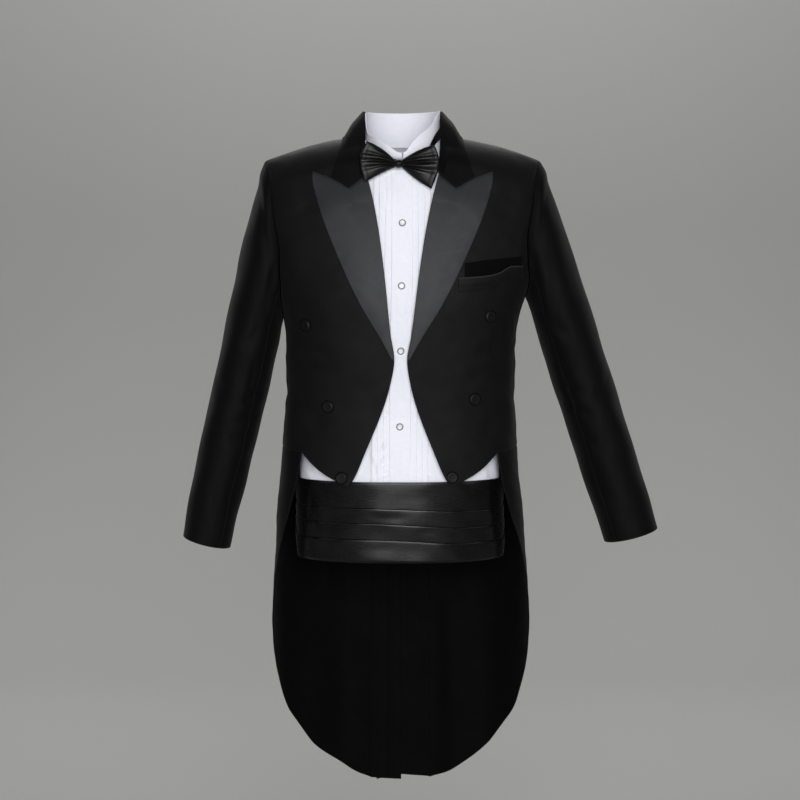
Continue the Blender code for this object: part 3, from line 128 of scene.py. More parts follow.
for box in SOFT_BOXES:
    light = bpy.data.lights.new(box["name"], "AREA")
    light.shape = "RECTANGLE"
    light.size, light.size_y = box["size"]
    light.energy = box["watts"]
    lamp = bpy.data.objects.new(box["name"], light)
    lamp.location = box["at"]
    lamp.rotation_euler = (Vector(box["to"]) - Vector(box["at"])).to_track_quat("-Z", "Y").to_euler()
    bpy.context.scene.collection.objects.link(lamp)
world = bpy.data.worlds.new("pale room")
world.use_nodes = True
world.node_tree.nodes["Background"].inputs["Color"].default_value = linear("#E9EAEC")
world.node_tree.nodes["Background"].inputs["Strength"].default_value = 0.09
bpy.context.scene.world = world
bpy.context.scene.view_settings.view_transform = "Standard"

# The camera looks down a little, as in the photograph, from 3.2 m off
CAMERA_AT = (-0.0041, -3.190, -0.169)
CAMERA_PITCH = 4.5
camera_lens = bpy.data.cameras.new("camera")
camera_lens.lens = 88.3
camera_lens.sensor_width = 36.0
camera = bpy.data.objects.new("camera", camera_lens)
camera.location = CAMERA_AT
camera.rotation_euler = (math.radians(90 - CAMERA_PITCH), 0.0, 0.0)
bpy.context.scene.collection.objects.link(camera)
bpy.context.scene.camera = camera


# The dress shirt's body: white cotton broadcloth, cut as two pleated fronts, a
# buttoned placket over them and a plain back. It hangs from the shoulders, inside the coat.

def curve(rows, at, value):
    """A smooth function through a table's rows that never swings past them."""
    x, y = np.array(sorted((row[at], row[value]) for row in rows), dtype=float).T
    chord = np.diff(y) / np.diff(x)
    slope = np.concatenate(([chord[0]], np.zeros(len(x) - 2), [chord[-1]]))
    before, after = chord[:-1], chord[1:]
    same_way = before * after > 0
    slope[1:-1][same_way] = 2 * before[same_way] * after[same_way] / (before + after)[same_way]

    def read(where):
        where = np.clip(where, x[0], x[-1])
        i = np.clip(np.searchsorted(x, where, side="right") - 1, 0, len(x) - 2)
        width = x[i + 1] - x[i]
        t = (where - x[i]) / width
        start = y[i] * (1 + 2 * t) * (1 - t) ** 2 + slope[i] * width * t * (1 - t) ** 2
        end = y[i + 1] * t * t * (3 - 2 * t) + slope[i + 1] * width * t * t * (t - 1)
        return start + end

    return read


def ease(share):
    """0 to 1, soft at both ends."""
    share = np.clip(share, 0.0, 1.0)
    return share * share * (3.0 - 2.0 * share)


def mix(start, end, share):
    return start + (end - start) * share


def unit(vectors):
    return vectors / np.maximum(np.linalg.norm(vectors, axis=-1, keepdims=True), 1e-12)


# The first angle of a neckline that counts as behind, and the last of a loop before it is whole
NECK_SIDE = 90.1
LOOP_END = 359.999
# How squarely the trunk turns from front to side (2 would be an ellipse)
SQUARENESS = 2.3
# Height over which the cloth rolls from the shoulder line down to the chest
SHOULDER_ROLL = 0.050
# Panels stop this much of a radian short of the shoulder line
RIDGE_FALL = 0.004
# Heights at which a coat's tail folds start and are full
FOLDS_START = -0.62
FOLDS_FULL = -0.95
SHIRT_SECTIONS = table("z half_width front back", [
    (0.00, 0.2150, 0.060, 0.064),
    (-0.05, 0.2150, 0.072, 0.079),
    (-0.10, 0.2120, 0.088, 0.095),
    (-0.15, 0.2040, 0.099, 0.105),
    (-0.20, 0.1950, 0.107, 0.112),
    (-0.24, 0.1860, 0.110, 0.113),
    (-0.29, 0.1760, 0.111, 0.110),
    (-0.35, 0.1700, 0.108, 0.101),
    (-0.42, 0.1640, 0.100, 0.091),
    (-0.50, 0.1630, 0.097, 0.089),
    (-0.60, 0.1640, 0.097, 0.092),
    (-0.70, 0.1650, 0.098, 0.094),
])
SHOULDER_LINE = table("x z", [
    (0.0888, 0.0040), (0.1150, -0.0010), (0.1540, -0.0100),
    (0.1840, -0.0196), (0.2150, -0.0310), (0.2250, -0.0355),
])
SHIRT_BACK_NECK_LINE = table("x z", [(0.0, 0.0200), (0.0300, 0.0140), (0.0560, 0.0040)])
# The suit hangs a little to the wearer's right below the chest
SWAY = table("z x", [(-0.10, 0.0), (-0.35, -0.0030), (-0.52, -0.0048), (-0.72, -0.0030), (-1.10, -0.0022)])
SHIRT_BELOW_COAT = 0.0028


class Trunk:
    """A hollow body of cloth; a spot on it is its turn from centre front and its fall from the shoulder."""

    def __init__(self, sections, back_neck, lower_by=0.0, folds=()):
        self.half_width = curve(sections, "z", "half_width")
        self.front = curve(sections, "z", "front")
        self.back = curve(sections, "z", "back")
        self.sway = curve(SWAY, "z", "x")
        self.shoulder = curve(SHOULDER_LINE, "x", "z")
        self.back_neck = curve(back_neck, "x", "z")
        self.neck_reach = back_neck[-1]["x"]
        self.lower_by = lower_by
        self.folds = folds

    def ridge(self, x, behind):
        line = np.where(behind & (x < self.neck_reach), self.back_neck(x), self.shoulder(x))
        return line - self.lower_by

    def fold_stand(self, x, z):
        stand = sum(f["stand"] * np.exp(-((x - f["x"]) / f["half_width"]) ** 2) for f in self.folds)
        return stand * ease((FOLDS_START - z) / (FOLDS_START - FOLDS_FULL)) if self.folds else 0.0

    def surface(self, turn, fall):
        turn, fall = np.broadcast_arrays(np.asarray(turn, float), np.asarray(fall, float))
        angle = np.radians(np.abs(turn))
        sign = np.where(np.sin(np.radians(turn)) < 0, -1.0, 1.0)
        behind = angle > np.pi / 2
        across = np.abs(np.sin(angle)) ** (2 / SQUARENESS)
        along = np.abs(np.cos(angle)) ** (2 / SQUARENESS)
        rolled = np.minimum(fall, np.pi / 2)
        drop = SHOULDER_ROLL * (1 - np.cos(rolled) + np.maximum(fall - np.pi / 2, 0))
        z = -drop
        for _ in range(5):
            x = self.half_width(z) * across
            z = self.ridge(x, behind) - drop
        y = np.where(behind, self.back(z), -self.front(z)) * along * np.sin(rolled)
        y = y + np.where(behind, self.fold_stand(sign * x, z) * along, 0.0)
        return np.stack([sign * x + self.sway(z), y, z], -1)

    def normal(self, turn, fall):
        step = 0.01
        around = self.surface(turn + 50 * step, fall) - self.surface(turn - 50 * step, fall)
        down = self.surface(turn, fall + step) - self.surface(turn, fall - step)
        return unit(np.cross(down, around))

    def laid(self, spots):
        """Points and normals at a grid of spots."""
        return self.surface(spots[..., 0], spots[..., 1]), self.normal(spots[..., 0], spots[..., 1])

    def place(self, x, z, behind=False):
        """Turn and fall of the point at x from the centre line and height z."""
        x, z, behind = np.broadcast_arrays(np.asarray(x, float), np.asarray(z, float), behind)
        across = np.minimum(np.abs(x) / self.half_width(z), 1.0)
        turn = np.degrees(np.arcsin(across ** (SQUARENESS / 2)))
        turn = np.where(behind, 180 - turn, turn)
        share = np.maximum((self.ridge(np.abs(x), behind) - z) / SHOULDER_ROLL, 0)
        fall = np.where(share < 1, np.arccos(np.clip(1 - share, -1, 1)), np.pi / 2 + share - 1)
        return np.stack([np.copysign(turn, x), fall], -1)

    def side_place(self, turn, z):
        """The spot at a turn and a height."""
        x = self.half_width(z) * np.sin(np.radians(turn)) ** (2 / SQUARENESS)
        return np.stack([turn, self.place(x, z, turn > 90)[..., 1]], -1)


# Lines close to an edge, which let the cloth's own thickness turn over smoothly there
EDGE_LINES = (0.0003, 0.0007, 0.0011, 0.0026, 0.0050)


def lines(length, spacing, corners=()):
    """Shares of a length at which the mesh has lines: even, at corners, and closer by its ends."""
    count = max(round(length / spacing), 2)
    near = [d / length for d in EDGE_LINES]
    fixed = [0.0, 1.0, *corners, *near, *(1 - n for n in near)]
    even = [k / count for k in range(1, count)]
    kept = [e for e in even if min(abs(e - f) for f in fixed) > 0.45 / count]
    return np.array(sorted(fixed + kept))


def straight(start, end):
    start, end = np.asarray(start, float), np.asarray(end, float)
    return lambda share: start + (end - start) * np.asarray(share)[:, None]


def joined(*parts):
    """One edge from several, each with its own share of the run."""
    total = sum(count for count, _ in parts)

    def read(share):
        spots = np.zeros((len(share), 2))
        start = 0
        for count, part in parts:
            local = (np.asarray(share) * total - start) / count
            chosen = (local > -1e-9) & (local < 1 + 1e-9)
            spots[chosen] = part(np.clip(local[chosen], 0, 1))
            start += count
        return spots

    return read


def patch(left, right, top, bottom, u, v):
    """Spots filled in between four edges that share their corners."""
    left, right, top, bottom = left(v), right(v), top(u), bottom(u)

    def shares(edge):
        return (edge[:, 0] - edge[0, 0]) / (edge[-1, 0] - edge[0, 0])

    top_shares, bottom_shares = shares(top), shares(bottom)
    top_bows = top[:, 1] - mix(top[0, 1], top[-1, 1], top_shares)
    bottom_bows = bottom[:, 1] - mix(bottom[0, 1], bottom[-1, 1], bottom_shares)
    v = v[:, None]
    across = mix(top_shares, bottom_shares, v)
    turn = mix(left[:, :1], right[:, :1], across)
    fall = mix(left[:, 1:], right[:, 1:], across)
    return np.stack([turn, fall + top_bows * (1 - v) ** 2 + bottom_bows * v * v], -1)


def neckline(trunk, ring, angle):
    """Where an oval neckline, seen from above, lies on a trunk; the angle is from the centre front."""
    angle = np.asarray(angle, float)
    swing = np.radians(np.abs(angle))
    behind = np.abs(angle) > 90
    x = ring["half_width"] * np.abs(np.sin(swing))
    depth = np.where(behind, ring["back"], ring["front"])
    z = np.zeros_like(x)
    for _ in range(6):
        turn = trunk.place(x, z, behind)[..., 0]
        wide = np.where(behind, trunk.back(z), trunk.front(z))
        reach = wide * np.abs(np.cos(np.radians(turn))) ** (2 / SQUARENESS)
        share = depth * np.abs(np.cos(swing)) / np.maximum(reach, 1e-9)
        fall = np.maximum(np.arcsin(np.minimum(share, 1)), RIDGE_FALL)
        z = trunk.surface(turn, fall)[..., 2]
    return np.stack([np.copysign(turn, angle), fall], -1)


def uneven(points, height, size):
    """The slow small waves that cloth is never without, up to this height and about this size."""
    x, y, z = np.moveaxis(points * (2 * np.pi / size), -1, 0)
    slow = np.sin(0.9 * x + 1.7 * np.sin(0.53 * z + 0.4) + 0.7 * y)
    cross = np.sin(1.13 * z + 1.3 * np.sin(0.61 * x + 1.1) + 0.9 * y + 2.0)
    return height * (0.5 * (slow + cross))


# A crease in millimetres, seen from its side: both ends, how far it bows, its width and its depth
CREASE = "across up to_across to_up bow wide deep"
# One flank of a crease is wider by this share and the other narrower, as cloth never folds evenly
CREASE_LEAN = 0.25
# It raises a soft lip on both sides, and stops where the cloth turns away. It fades over this share
# of its run, starting a little above nothing, so that its end is blunt
CREASE_LIPS = 0.3
CREASE_FADE = 0.3
CREASE_END = 0.12
CREASE_TURNED = 0.35
CREASE_STEPS = 24
# The sides that a crease can be drawn from, and the direction that looks back at each
SEEN_FROM = {
    "front": ((0, 2), (0.0, -1.0, 0.0)),
    "back": ((0, 2), (0.0, 1.0, 0.0)),
    "right": ((1, 2), (-1.0, 0.0, 0.0)),
    "left": ((1, 2), (1.0, 0.0, 0.0)),
}


def folded(points, normals, creases):
    """How far cloth stands out (plus) or in (minus) for a table of creases drawn in millimetres."""
    height = np.zeros(points.shape[:-1])
    for crease in creases:
        axes, outward = SEEN_FROM[crease.get("seen", "front")]
        flat = points[..., axes] * 1000
        start = np.array((crease["across"], crease["up"]), float)
        end = np.array((crease["to_across"], crease["to_up"]), float)
        length = np.linalg.norm(end - start)
        sideways = np.array([-(end - start)[1], (end - start)[0]]) / length
        handle = (start + end) / 2 + 2 * crease["bow"] * sideways
        reach = crease["wide"] * 5 + abs(crease["bow"])
        low = np.minimum(start, end) - reach
        high = np.maximum(start, end) + reach
        near = ((flat > low) & (flat < high)).all(-1)
        if not near.any():
            continue
        spot = flat[near]
        share = np.linspace(0, 1, CREASE_STEPS + 1)[:, None]
        line = start * (1 - share) ** 2 + handle * 2 * share * (1 - share) + end * share ** 2
        gap = spot[:, None, :] - line[None]
        nearest = np.argmin((gap ** 2).sum(-1), 1)
        away = gap[np.arange(len(spot)), nearest]
        along = np.gradient(line, axis=0)[nearest]
        side = np.sign(along[:, 0] * away[:, 1] - along[:, 1] * away[:, 0])
        wide = crease["wide"] * (1 + CREASE_LEAN * side)
        distance = np.linalg.norm(away, axis=-1)
        at = nearest / CREASE_STEPS
        taper = ease(at / CREASE_FADE + CREASE_END) * ease((1 - at) / CREASE_FADE + CREASE_END)
        core = np.exp(-(distance / wide) ** 2)
        lips = CREASE_LIPS * np.exp(-((distance - 2.0 * wide) / wide) ** 2)
        facing = np.clip((normals[near] @ np.array(outward)) / CREASE_TURNED, 0, 1)
        height[near] += crease["deep"] / 1000 * (core - lips) * taper * facing
    return height


# How deep the cloth dips into a sewn seam, and how wide that dip is
SEAM_DIP = 0.0007
SEAM_DIP_WIDTH = 0.0030


def lengths_of(face, closed=False):
    """Cloth coordinates over a grid of points, and the full length of each row and column."""
    beside = np.roll(face, -1, 1) if closed else face[:, 1:]
    steps_across = np.linalg.norm(beside - face[:, :beside.shape[1]], axis=-1)
    steps_down = np.linalg.norm(np.diff(face, axis=0), axis=-1)
    across = np.concatenate([np.zeros((len(face), 1)), np.cumsum(steps_across, 1)], 1)
    down = np.concatenate([np.zeros((1, face.shape[1])), np.cumsum(steps_down, 0)], 0)
    return across, down


def quads(*corners):
    """Quads from four grids of point numbers, one for each corner."""
    return np.stack(corners, -1).reshape(-1, 4)


def wall_faces(rows, columns, closed=False):
    """Quads of a wall whose outer grid of points comes first and its inner grid second."""
    grid = np.arange(rows * columns).reshape(rows, columns)
    if closed:
        grid = np.concatenate([grid, grid[:, :1]], 1)
    inner = grid + rows * columns
    faces = [
        quads(grid[:-1, :-1], grid[1:, :-1], grid[1:, 1:], grid[:-1, 1:]),
        quads(inner[:-1, :-1], inner[:-1, 1:], inner[1:, 1:], inner[1:, :-1]),
        quads(grid[0, :-1], grid[0, 1:], inner[0, 1:], inner[0, :-1]),
        quads(grid[-1, :-1], inner[-1, :-1], inner[-1, 1:], grid[-1, 1:]),
    ]
    if not closed:
        faces.append(quads(grid[:-1, 0], inner[:-1, 0], inner[1:, 0], grid[1:, 0]))
        faces.append(quads(grid[:-1, -1], grid[1:, -1], inner[1:, -1], inner[:-1, -1]))
    return np.concatenate(faces)


def middle_facing(face):
    """Which way the quads in the middle of a grid of points face."""
    row, column = face.shape[0] // 2, face.shape[1] // 2
    middle = face[row, column]
    return np.cross(face[row + 1, column] - middle, face[row, column + 1] - middle)


def facing_out(normals, from_centre):
    """Normals turned so that none points back to the centre."""
    return normals * np.sign((normals * from_centre).sum(-1))[..., None]


# How much of its half thickness a wall gives up at its very edge
EDGE_ROUNDING = 0.84


def cloth_piece(node, base, normal, height, wall, material, seams=(), closed=False,
                reverse=None):
    """A cloth wall whose face stands over a grid of points, rounded at its edges and dipped at its seams."""
    face = base + normal * np.asarray(height)[..., None]
    across, down = lengths_of(face, closed)
    whole_across, whole_down = across[:, -1:], down[-1:, :]
    if closed:
        across = across[:, :-1]
    far = np.full(face.shape[:2], 1.0)
    away = {
        "top": down,
        "bottom": whole_down - down,
        "left": far if closed else across,
        "right": far if closed else whole_across - across,
    }
    inset = np.minimum.reduce(list(away.values()))
    free_inset = np.minimum.reduce([away[side] for side in away if side not in seams] + [far])
    at_seam = np.minimum.reduce([away[side] for side in seams] + [far])
    dip = SEAM_DIP * np.exp(-(at_seam / SEAM_DIP_WIDTH) ** 2)
    turned = np.clip(1 - inset / (wall / 2), 0, 1)
    rounding = EDGE_ROUNDING * wall / 2 * (1 - np.sqrt(1 - turned ** 2))
    outer = face - normal * (dip + rounding)[..., None]
    inner = face - normal * (dip + wall - rounding)[..., None]
    rows, columns = face.shape[:2]
    faces = wall_faces(rows, columns, closed)
    if middle_facing(face) @ normal[rows // 2, columns // 2] < 0:
        faces = faces[:, ::-1]
    cloth = np.stack([across, down], -1).reshape(-1, 2)
    points = np.concatenate([outer.reshape(-1, 3), inner.reshape(-1, 3)])
    insets = np.concatenate([free_inset.ravel()] * 2)
    piece = build(f"{node}_cloth", points, faces, material, np.concatenate([cloth] * 2), insets)
    if reverse is not None:
        piece.data.materials.append(reverse)
        outside = (rows - 1) * (columns if closed else columns - 1)
        sides = np.zeros(len(faces), dtype=np.int32)
        sides[outside:2 * outside] = 1
        piece.data.polygons.foreach_set("material_index", sides)
    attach(piece, "root")
    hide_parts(node)
    return piece


def mirrored(grid):
    return grid * np.array([-1.0, 1.0])


def add_node(material, kind, inputs, **settings):
    """Add a shader node with its settings; an input takes a value or another node's output."""
    node = material.node_tree.nodes.new(kind)
    for name, value in settings.items():
        setattr(node, name, value)
    set_inputs(material, node, inputs)
    return node


def cloth_place(material):
    """Where a point lies on its cloth, in metres."""
    return add_node(material, "ShaderNodeUVMap", {}, uv_map="cloth").outputs["UV"]


def own_place(material):
    """Where a point lies in its own object, in metres."""
    return add_node(material, "ShaderNodeTexCoord", {}).outputs["Object"]


def two_tone(material, share, low, high):
    """A colour from low to high, by another node's output."""
    return add_node(material, "ShaderNodeMix", {0: share, 6: low, 7: high}, data_type="RGBA").outputs[2]


def bumped(material, height, strength, distance):
    """The shading normal of a fine relief, whose height is another node's output."""
    inputs = {"Height": height, "Strength": strength, "Distance": distance}
    return add_node(material, "ShaderNodeBump", inputs).outputs["Normal"]


def noise(material, where, scale, detail, distortion=0.0):
    """A soft uneven pattern over another node's coordinates."""
    inputs = {"Vector": where, "Scale": scale, "Detail": detail, "Distortion": distortion}
    return add_node(material, "ShaderNodeTexNoise", inputs).outputs["Fac"]


def ranged(material, value, start, end, low, high):
    """Low to high, while another node's output goes from start to end."""
    inputs = {0: value, 1: start, 2: end, 3: low, 4: high}
    return add_node(material, "ShaderNodeMapRange", inputs).outputs[0]


# A wave texture of scale 1 repeats every 0.314 m
WAVE_PERIOD = 0.314
# Broadcloth has 0.25 mm threads; they are drawn 1.2 mm apart, or they would not show
BROADCLOTH_THREAD = 0.0012


def broadcloth(name, colour, shade):
    """Bleached cotton broadcloth, mangled smooth: matt white with slub tone, a painted cooler shade in the
    hollows of its slub relief, and a dull thread grid.
    """
    material, shader = new_finish(name, colour, {
        "Roughness": 0.78, "Specular IOR Level": 0.30, "Sheen Weight": 0.10, "Sheen Roughness": 0.5,
        "Subsurface Weight": 0.06, "Subsurface Scale": 0.004,
    })
    uv = cloth_place(material)
    scale = WAVE_PERIOD / BROADCLOTH_THREAD
    warp = add_node(material, "ShaderNodeTexWave", {
        "Vector": uv, "Scale": scale, "Distortion": 0.6, "Detail": 1.0,
    }, bands_direction="X")
    weft = add_node(material, "ShaderNodeTexWave", {
        "Vector": uv, "Scale": scale * 0.94, "Distortion": 0.8, "Detail": 1.0,
    }, bands_direction="Y")
    threads = add_node(material, "ShaderNodeMath", {0: warp.outputs["Fac"], 1: weft.outputs["Fac"]},
                       operation="MAXIMUM")
    slub_relief_and_shade = noise(material, uv, 140.0, 4.0)
    # The slub noise also drives the relief, so its cooler colour is painted shade in the relief's hollows
    tone = two_tone(material, slub_relief_and_shade, linear(shade), linear(colour))
    height = add_node(material, "ShaderNodeMath", {0: threads.outputs[0], 1: 0.5, 2: slub_relief_and_shade},
                      operation="MULTIPLY_ADD")
    relief = bumped(material, height.outputs[0], 0.22, 0.0003)
    set_inputs(material, shader, {"Base Color": tone, "Normal": relief})
    return material


shirt_cotton = broadcloth("bleached cotton broadcloth", "#EFEFF7", "#E4E5EF")

COTTON = 0.0015
LAP_GAP = 0.0004
SHIRT_NECK = {"half_width": 0.0600, "front": 0.0640, "back": 0.0560}
SHIRT_HEM_Z = -0.655
SHIRT_ARMHOLE = table("z turn", [
    (-0.0245, 54.6), (-0.0800, 50.3), (-0.1400, 51.3), (-0.1900, 56.4),
    (-0.2250, 66.0), (-0.2500, 80.0), (-0.2620, 90.0),
])
SHIRT_ARM_STEPS = 7
# Pleats run down both sides of the placket: where each folded edge lies, and how proud it stands
PLEAT_EDGES = (0.0262, 0.0361, 0.0444)
PLEAT_START = 0.0168
PLEAT_RISE = 0.0015
PLEAT_STEP = 0.0006
PLEAT_WANDER = 0.0009
PLEAT_SWELL = 1.3

shirt = Trunk(SHIRT_SECTIONS, SHIRT_BACK_NECK_LINE, lower_by=SHIRT_BELOW_COAT)
shirt_armhole_turn = curve(SHIRT_ARMHOLE, "z", "turn")
ARM_TOP_Z = SHIRT_ARMHOLE[0]["z"]
ARM_FOOT_Z = SHIRT_ARMHOLE[-1]["z"]


def shirt_edge(share):
    """The armhole and side seam from the shoulder to the hem."""
    share = np.asarray(share)
    side_seam = mix(ARM_FOOT_Z, SHIRT_HEM_Z, 2 * share - 1)
    z = np.where(share < 0.5, mix(ARM_TOP_Z, ARM_FOOT_Z, 2 * share), side_seam)
    spots = shirt.side_place(shirt_armhole_turn(z), z)
    first = 0.5 / SHIRT_ARM_STEPS
    second = shirt.side_place(shirt_armhole_turn(mix(ARM_TOP_Z, ARM_FOOT_Z, 2 * first)),
                              np.array(mix(ARM_TOP_Z, ARM_FOOT_Z, 2 * first)))[1]
    spots[:, 1] = np.where(share < first, mix(RIDGE_FALL, second, share / first), spots[:, 1])
    return spots


def shirt_neck_z(x):
    """Height of the front neckline at x from the centre."""
    angle = np.degrees(np.arcsin(np.minimum(np.asarray(x) / SHIRT_NECK["half_width"], 1.0)))
    return shirt.surface(*np.moveaxis(neckline(shirt, SHIRT_NECK, angle), -1, 0))[..., 2]


# Soft creases in the fronts, in millimetres as seen from the front
SHIRT_CREASES = table(CREASE, [
    (-20, -62, 4, -78, 2, 3.5, -1.3), (-24, -74, -4, -92, -3, 4.0, 1.0),
    (-36, -286, 30, -281, 3, 6, -0.8), (-30, -322, 26, -330, -3, 7, -0.9),
    (-28, -448, 24, -441, 3, 6, -0.8), (-22, -58, -6, -49, -2, 2.2, -1.1),
    (-30, -72, -27, -104, 2, 2.6, -1.0), (-40, -78, -37, -118, -2, 3.0, -0.9),
    (-20, -467, -38, -524, -5, 2.2, 1.1), (-60, -478, -66, -538, 3, 5, -1.2),
    (34, -470, 44, -540, -4, 6, -1.0), (-34, -440, -19, -436, 2, 2.8, -1.0),
    (-52, -492, -40, -536, 4, 4, 1.2), (-150, -526, -142, -548, 2, 4, -1.6),
    (-130, -518, -131, -548, -3, 4.5, -1.4), (-114, -530, -116, -552, 1, 4, 1.0),
    (132, -512, 142, -548, 2, 4.5, -1.6), (106, -538, 114, -552, -2, 4, -1.2),
])
# Beside the placket's foot the right front is crumpled into a fan of short folds: the height at
# which each meets the placket, how far out it reaches, and how far it drops on the way
CRUMPLE = table("z reach drop deep", [
    (-475, -25, 4, -1.3), (-480, -28, 5, -1.9), (-486, -30, 6, -1.7), (-491, -32, 7, -2.1),
    (-497, -33, 6, -1.5), (-504, -34, 8, -2.1), (-510, -35, 7, -1.8), (-518, -36, 9, -1.9),
    (-526, -36, 8, -1.6), (-535, -37, 7, -1.8),
])
CRUMPLE_FROM = -18
CRUMPLE_BOW = 1
CRUMPLE_WIDE = 1.9
SHIRT_CREASES += table(CREASE, [
    (f["reach"], f["z"] - f["drop"], CRUMPLE_FROM, f["z"], CRUMPLE_BOW, CRUMPLE_WIDE, f["deep"])
    for f in CRUMPLE
])


# Height and size of the slow waves in the fronts and the back
SHIRT_WAVES = (0.0007, 0.090)
SHIRT_BACK_WAVES = (0.0006, 0.11)


def on_shoulder(normals):
    """1 on top of the shoulder, where coat and shirt lie close, and 0 below it."""
    return ease((normals[..., 2] - 0.25) / 0.35)


def shirt_relief(points, normals):
    """Creases and slow waves, which never lift the shirt into the coat on the shoulder."""
    height = folded(points, normals, SHIRT_CREASES) + uneven(points, *SHIRT_WAVES)
    return height - np.maximum(height, 0) * on_shoulder(normals)


def pleat_columns():
    """Places across the pleats and how proud the cloth stands there: up to an edge, then sharply down."""
    columns = [(0.0, 0.0), (0.008, 0.0), (PLEAT_START, 0.0)]
    start = PLEAT_START
    for edge in PLEAT_EDGES:
        for share in (0.3, 0.55, 0.78, 0.90, 0.97):
            columns.append((mix(start, edge, share), PLEAT_RISE * share ** PLEAT_SWELL))
        columns.append((edge, PLEAT_RISE * 0.93))
        columns.append((edge + PLEAT_STEP * 0.5, PLEAT_RISE * 0.40))
        columns.append((edge + PLEAT_STEP, 0.0))
        start = edge + PLEAT_STEP
    last = SHIRT_NECK["half_width"]
    columns += [(mix(start, last, share), 0.0) for share in (0.33, 0.66, 1.0)]
    return np.array(columns)


pleats = pleat_columns()
front_rows = lines(0.62, 0.0028, corners=(0.5,))
side_columns = lines(0.14, 0.006)
for sign, wearer in ((-1, "right"), (1, "left")):
    x = pleats[None, :, 0]
    v = front_rows[:, None]
    # The pressed edges wander a little down the front
    wander = PLEAT_WANDER * np.sin(7.0 * v + 2.2 * sign + 40 * x) * np.clip(x / PLEAT_START - 0.8, 0, 1)
    wander = wander * np.clip((SHIRT_NECK["half_width"] - x) / 0.01, 0, 1)
    neck_z = shirt_neck_z(pleats[:, 0])[None]
    inner_part = shirt.place(x + wander, mix(neck_z, SHIRT_HEM_Z, v))
    edge = shirt_edge(front_rows)[:, None]
    outer_part = inner_part[:, -1:] + (edge - inner_part[:, -1:]) * side_columns[None, 1:, None]
    grid = np.concatenate([inner_part, outer_part], 1)
    rise = np.concatenate([pleats[:, 1], np.zeros(len(side_columns) - 1)])[None]
    across = np.pad(x, ((0, 0), (0, grid.shape[1] - x.shape[1])))
    rise = rise * (0.85 + 0.25 * np.sin(9.0 * v + 3.0 * sign + 130 * across))
    if sign < 0:
        grid = mirrored(grid)
    base, normal = shirt.laid(grid)
    height = rise + shirt_relief(base, normal)
    cloth_piece(f"shirt_front_{wearer}", base, normal, height, COTTON, shirt_cotton,
                seams=("top", "right"))

PLACKET_HALF = 0.0166
PLACKET_TOP = -0.0500
PLACKET_WANDER = 0.0005
# A line of stitching draws the cloth down near both of the placket's edges
PLACKET_STITCH = 0.0050
STITCH_HALF_WIDTH = 0.0010
STITCH_DIP = 0.00035
u = lines(2 * PLACKET_HALF, 0.0030)
v = lines(0.60, 0.005)
x = mix(-PLACKET_HALF, PLACKET_HALF, u)[None]
z = mix(PLACKET_TOP, SHIRT_HEM_Z, v)[:, None]
grid = shirt.place(x + PLACKET_WANDER * np.sin(22 * z), z)
base, normal = shirt.laid(grid)
height = COTTON + LAP_GAP + shirt_relief(base, normal)
stitch_row = np.exp(-((np.abs(x) - (PLACKET_HALF - PLACKET_STITCH)) / STITCH_HALF_WIDTH) ** 2)
height = height - STITCH_DIP * stitch_row
cloth_piece("shirt_placket", base, normal, height, COTTON, shirt_cotton)


def back_neck_edge(share):
    """From one shoulder over the back of the neck to the other."""
    shoulder = shirt_edge(np.array([0.0]))[0]
    start = np.array([180 - shoulder[0], RIDGE_FALL])
    neck_point = np.array([neckline(shirt, SHIRT_NECK, NECK_SIDE)[0], RIDGE_FALL])
    folded_share = np.where(share > 0.5, 1 - share, share)
    over_shoulder = start + (neck_point - start) * np.clip(folded_share * 4, 0, 1)[:, None]
    on_neck = neckline(shirt, SHIRT_NECK, mix(NECK_SIDE, 180.0, np.clip(folded_share * 4 - 1, 0, 1)))
    spots = np.where((folded_share < 0.25)[:, None], over_shoulder, on_neck)
    spots[:, 0] = np.where(share > 0.5, 360 - spots[:, 0], spots[:, 0])
    return spots


def back_edge(side):
    """The armhole and side seam as the back's own edge, on the wearer's left (-1) or right (1)."""
    def read(share):
        spots = shirt_edge(share)
        return np.stack([180 + side * spots[:, 0], spots[:, 1]], -1)

    return read


corner = back_edge(-1)(np.array([1.0]))[0]
back_hem = straight(corner, (360 - corner[0], corner[1]))
grid = patch(back_edge(-1), back_edge(1), back_neck_edge, back_hem,
             lines(0.42, 0.009, corners=(0.25, 0.75)), lines(0.66, 0.009, corners=(0.5,)))
base, normal = shirt.laid(grid)
height = uneven(base, *SHIRT_BACK_WAVES)
height = height - np.maximum(height, 0) * on_shoulder(normal)
cloth_piece("shirt_back", base, normal, height, COTTON, shirt_cotton,
            seams=("top", "left", "right"))


# The shirt's standing collar: two layers of the same cotton, stiffened and stitched along
# the top edge, sewn to the neckline and open at the front under the bow tie.

COLLAR_BAND = {"half_width": 0.0598, "front": 0.0665, "back": 0.0570}
# The band's upper edge dips to the front, and further round on the wearer's right side (minus)
COLLAR_BAND_TOP = table("angle z", [
    (-176, 0.0470), (-110, 0.0465), (-90, 0.0430), (-78, 0.0260), (-64, 0.0080), (-45, 0.0010),
    (-25, -0.0090), (-3, -0.0225), (3, -0.0215), (15, -0.0060), (28, 0.0070), (45, 0.0180),
    (52, 0.0245), (65, 0.0385), (88, 0.0480), (110, 0.0480), (176, 0.0470),
])
FRONT_SLIT = 1.0
# Takes the height out of a point
LEVEL = np.array([1, 1, 0])
COLLAR_OVERLAP = 0.0030


def ring_point(ring, angle, z):
    angle, z = np.broadcast_arrays(angle, z)
    swing = np.radians(angle)
    depth = np.where(np.cos(swing) > 0, ring["front"], ring["back"])
    return np.stack([ring["half_width"] * np.sin(swing), -depth * np.cos(swing), z], -1)


def both_ways(angles):
    """Angles once round as angles to both sides, minus on the wearer's right."""
    return np.where(angles <= 180, angles, angles - 360)


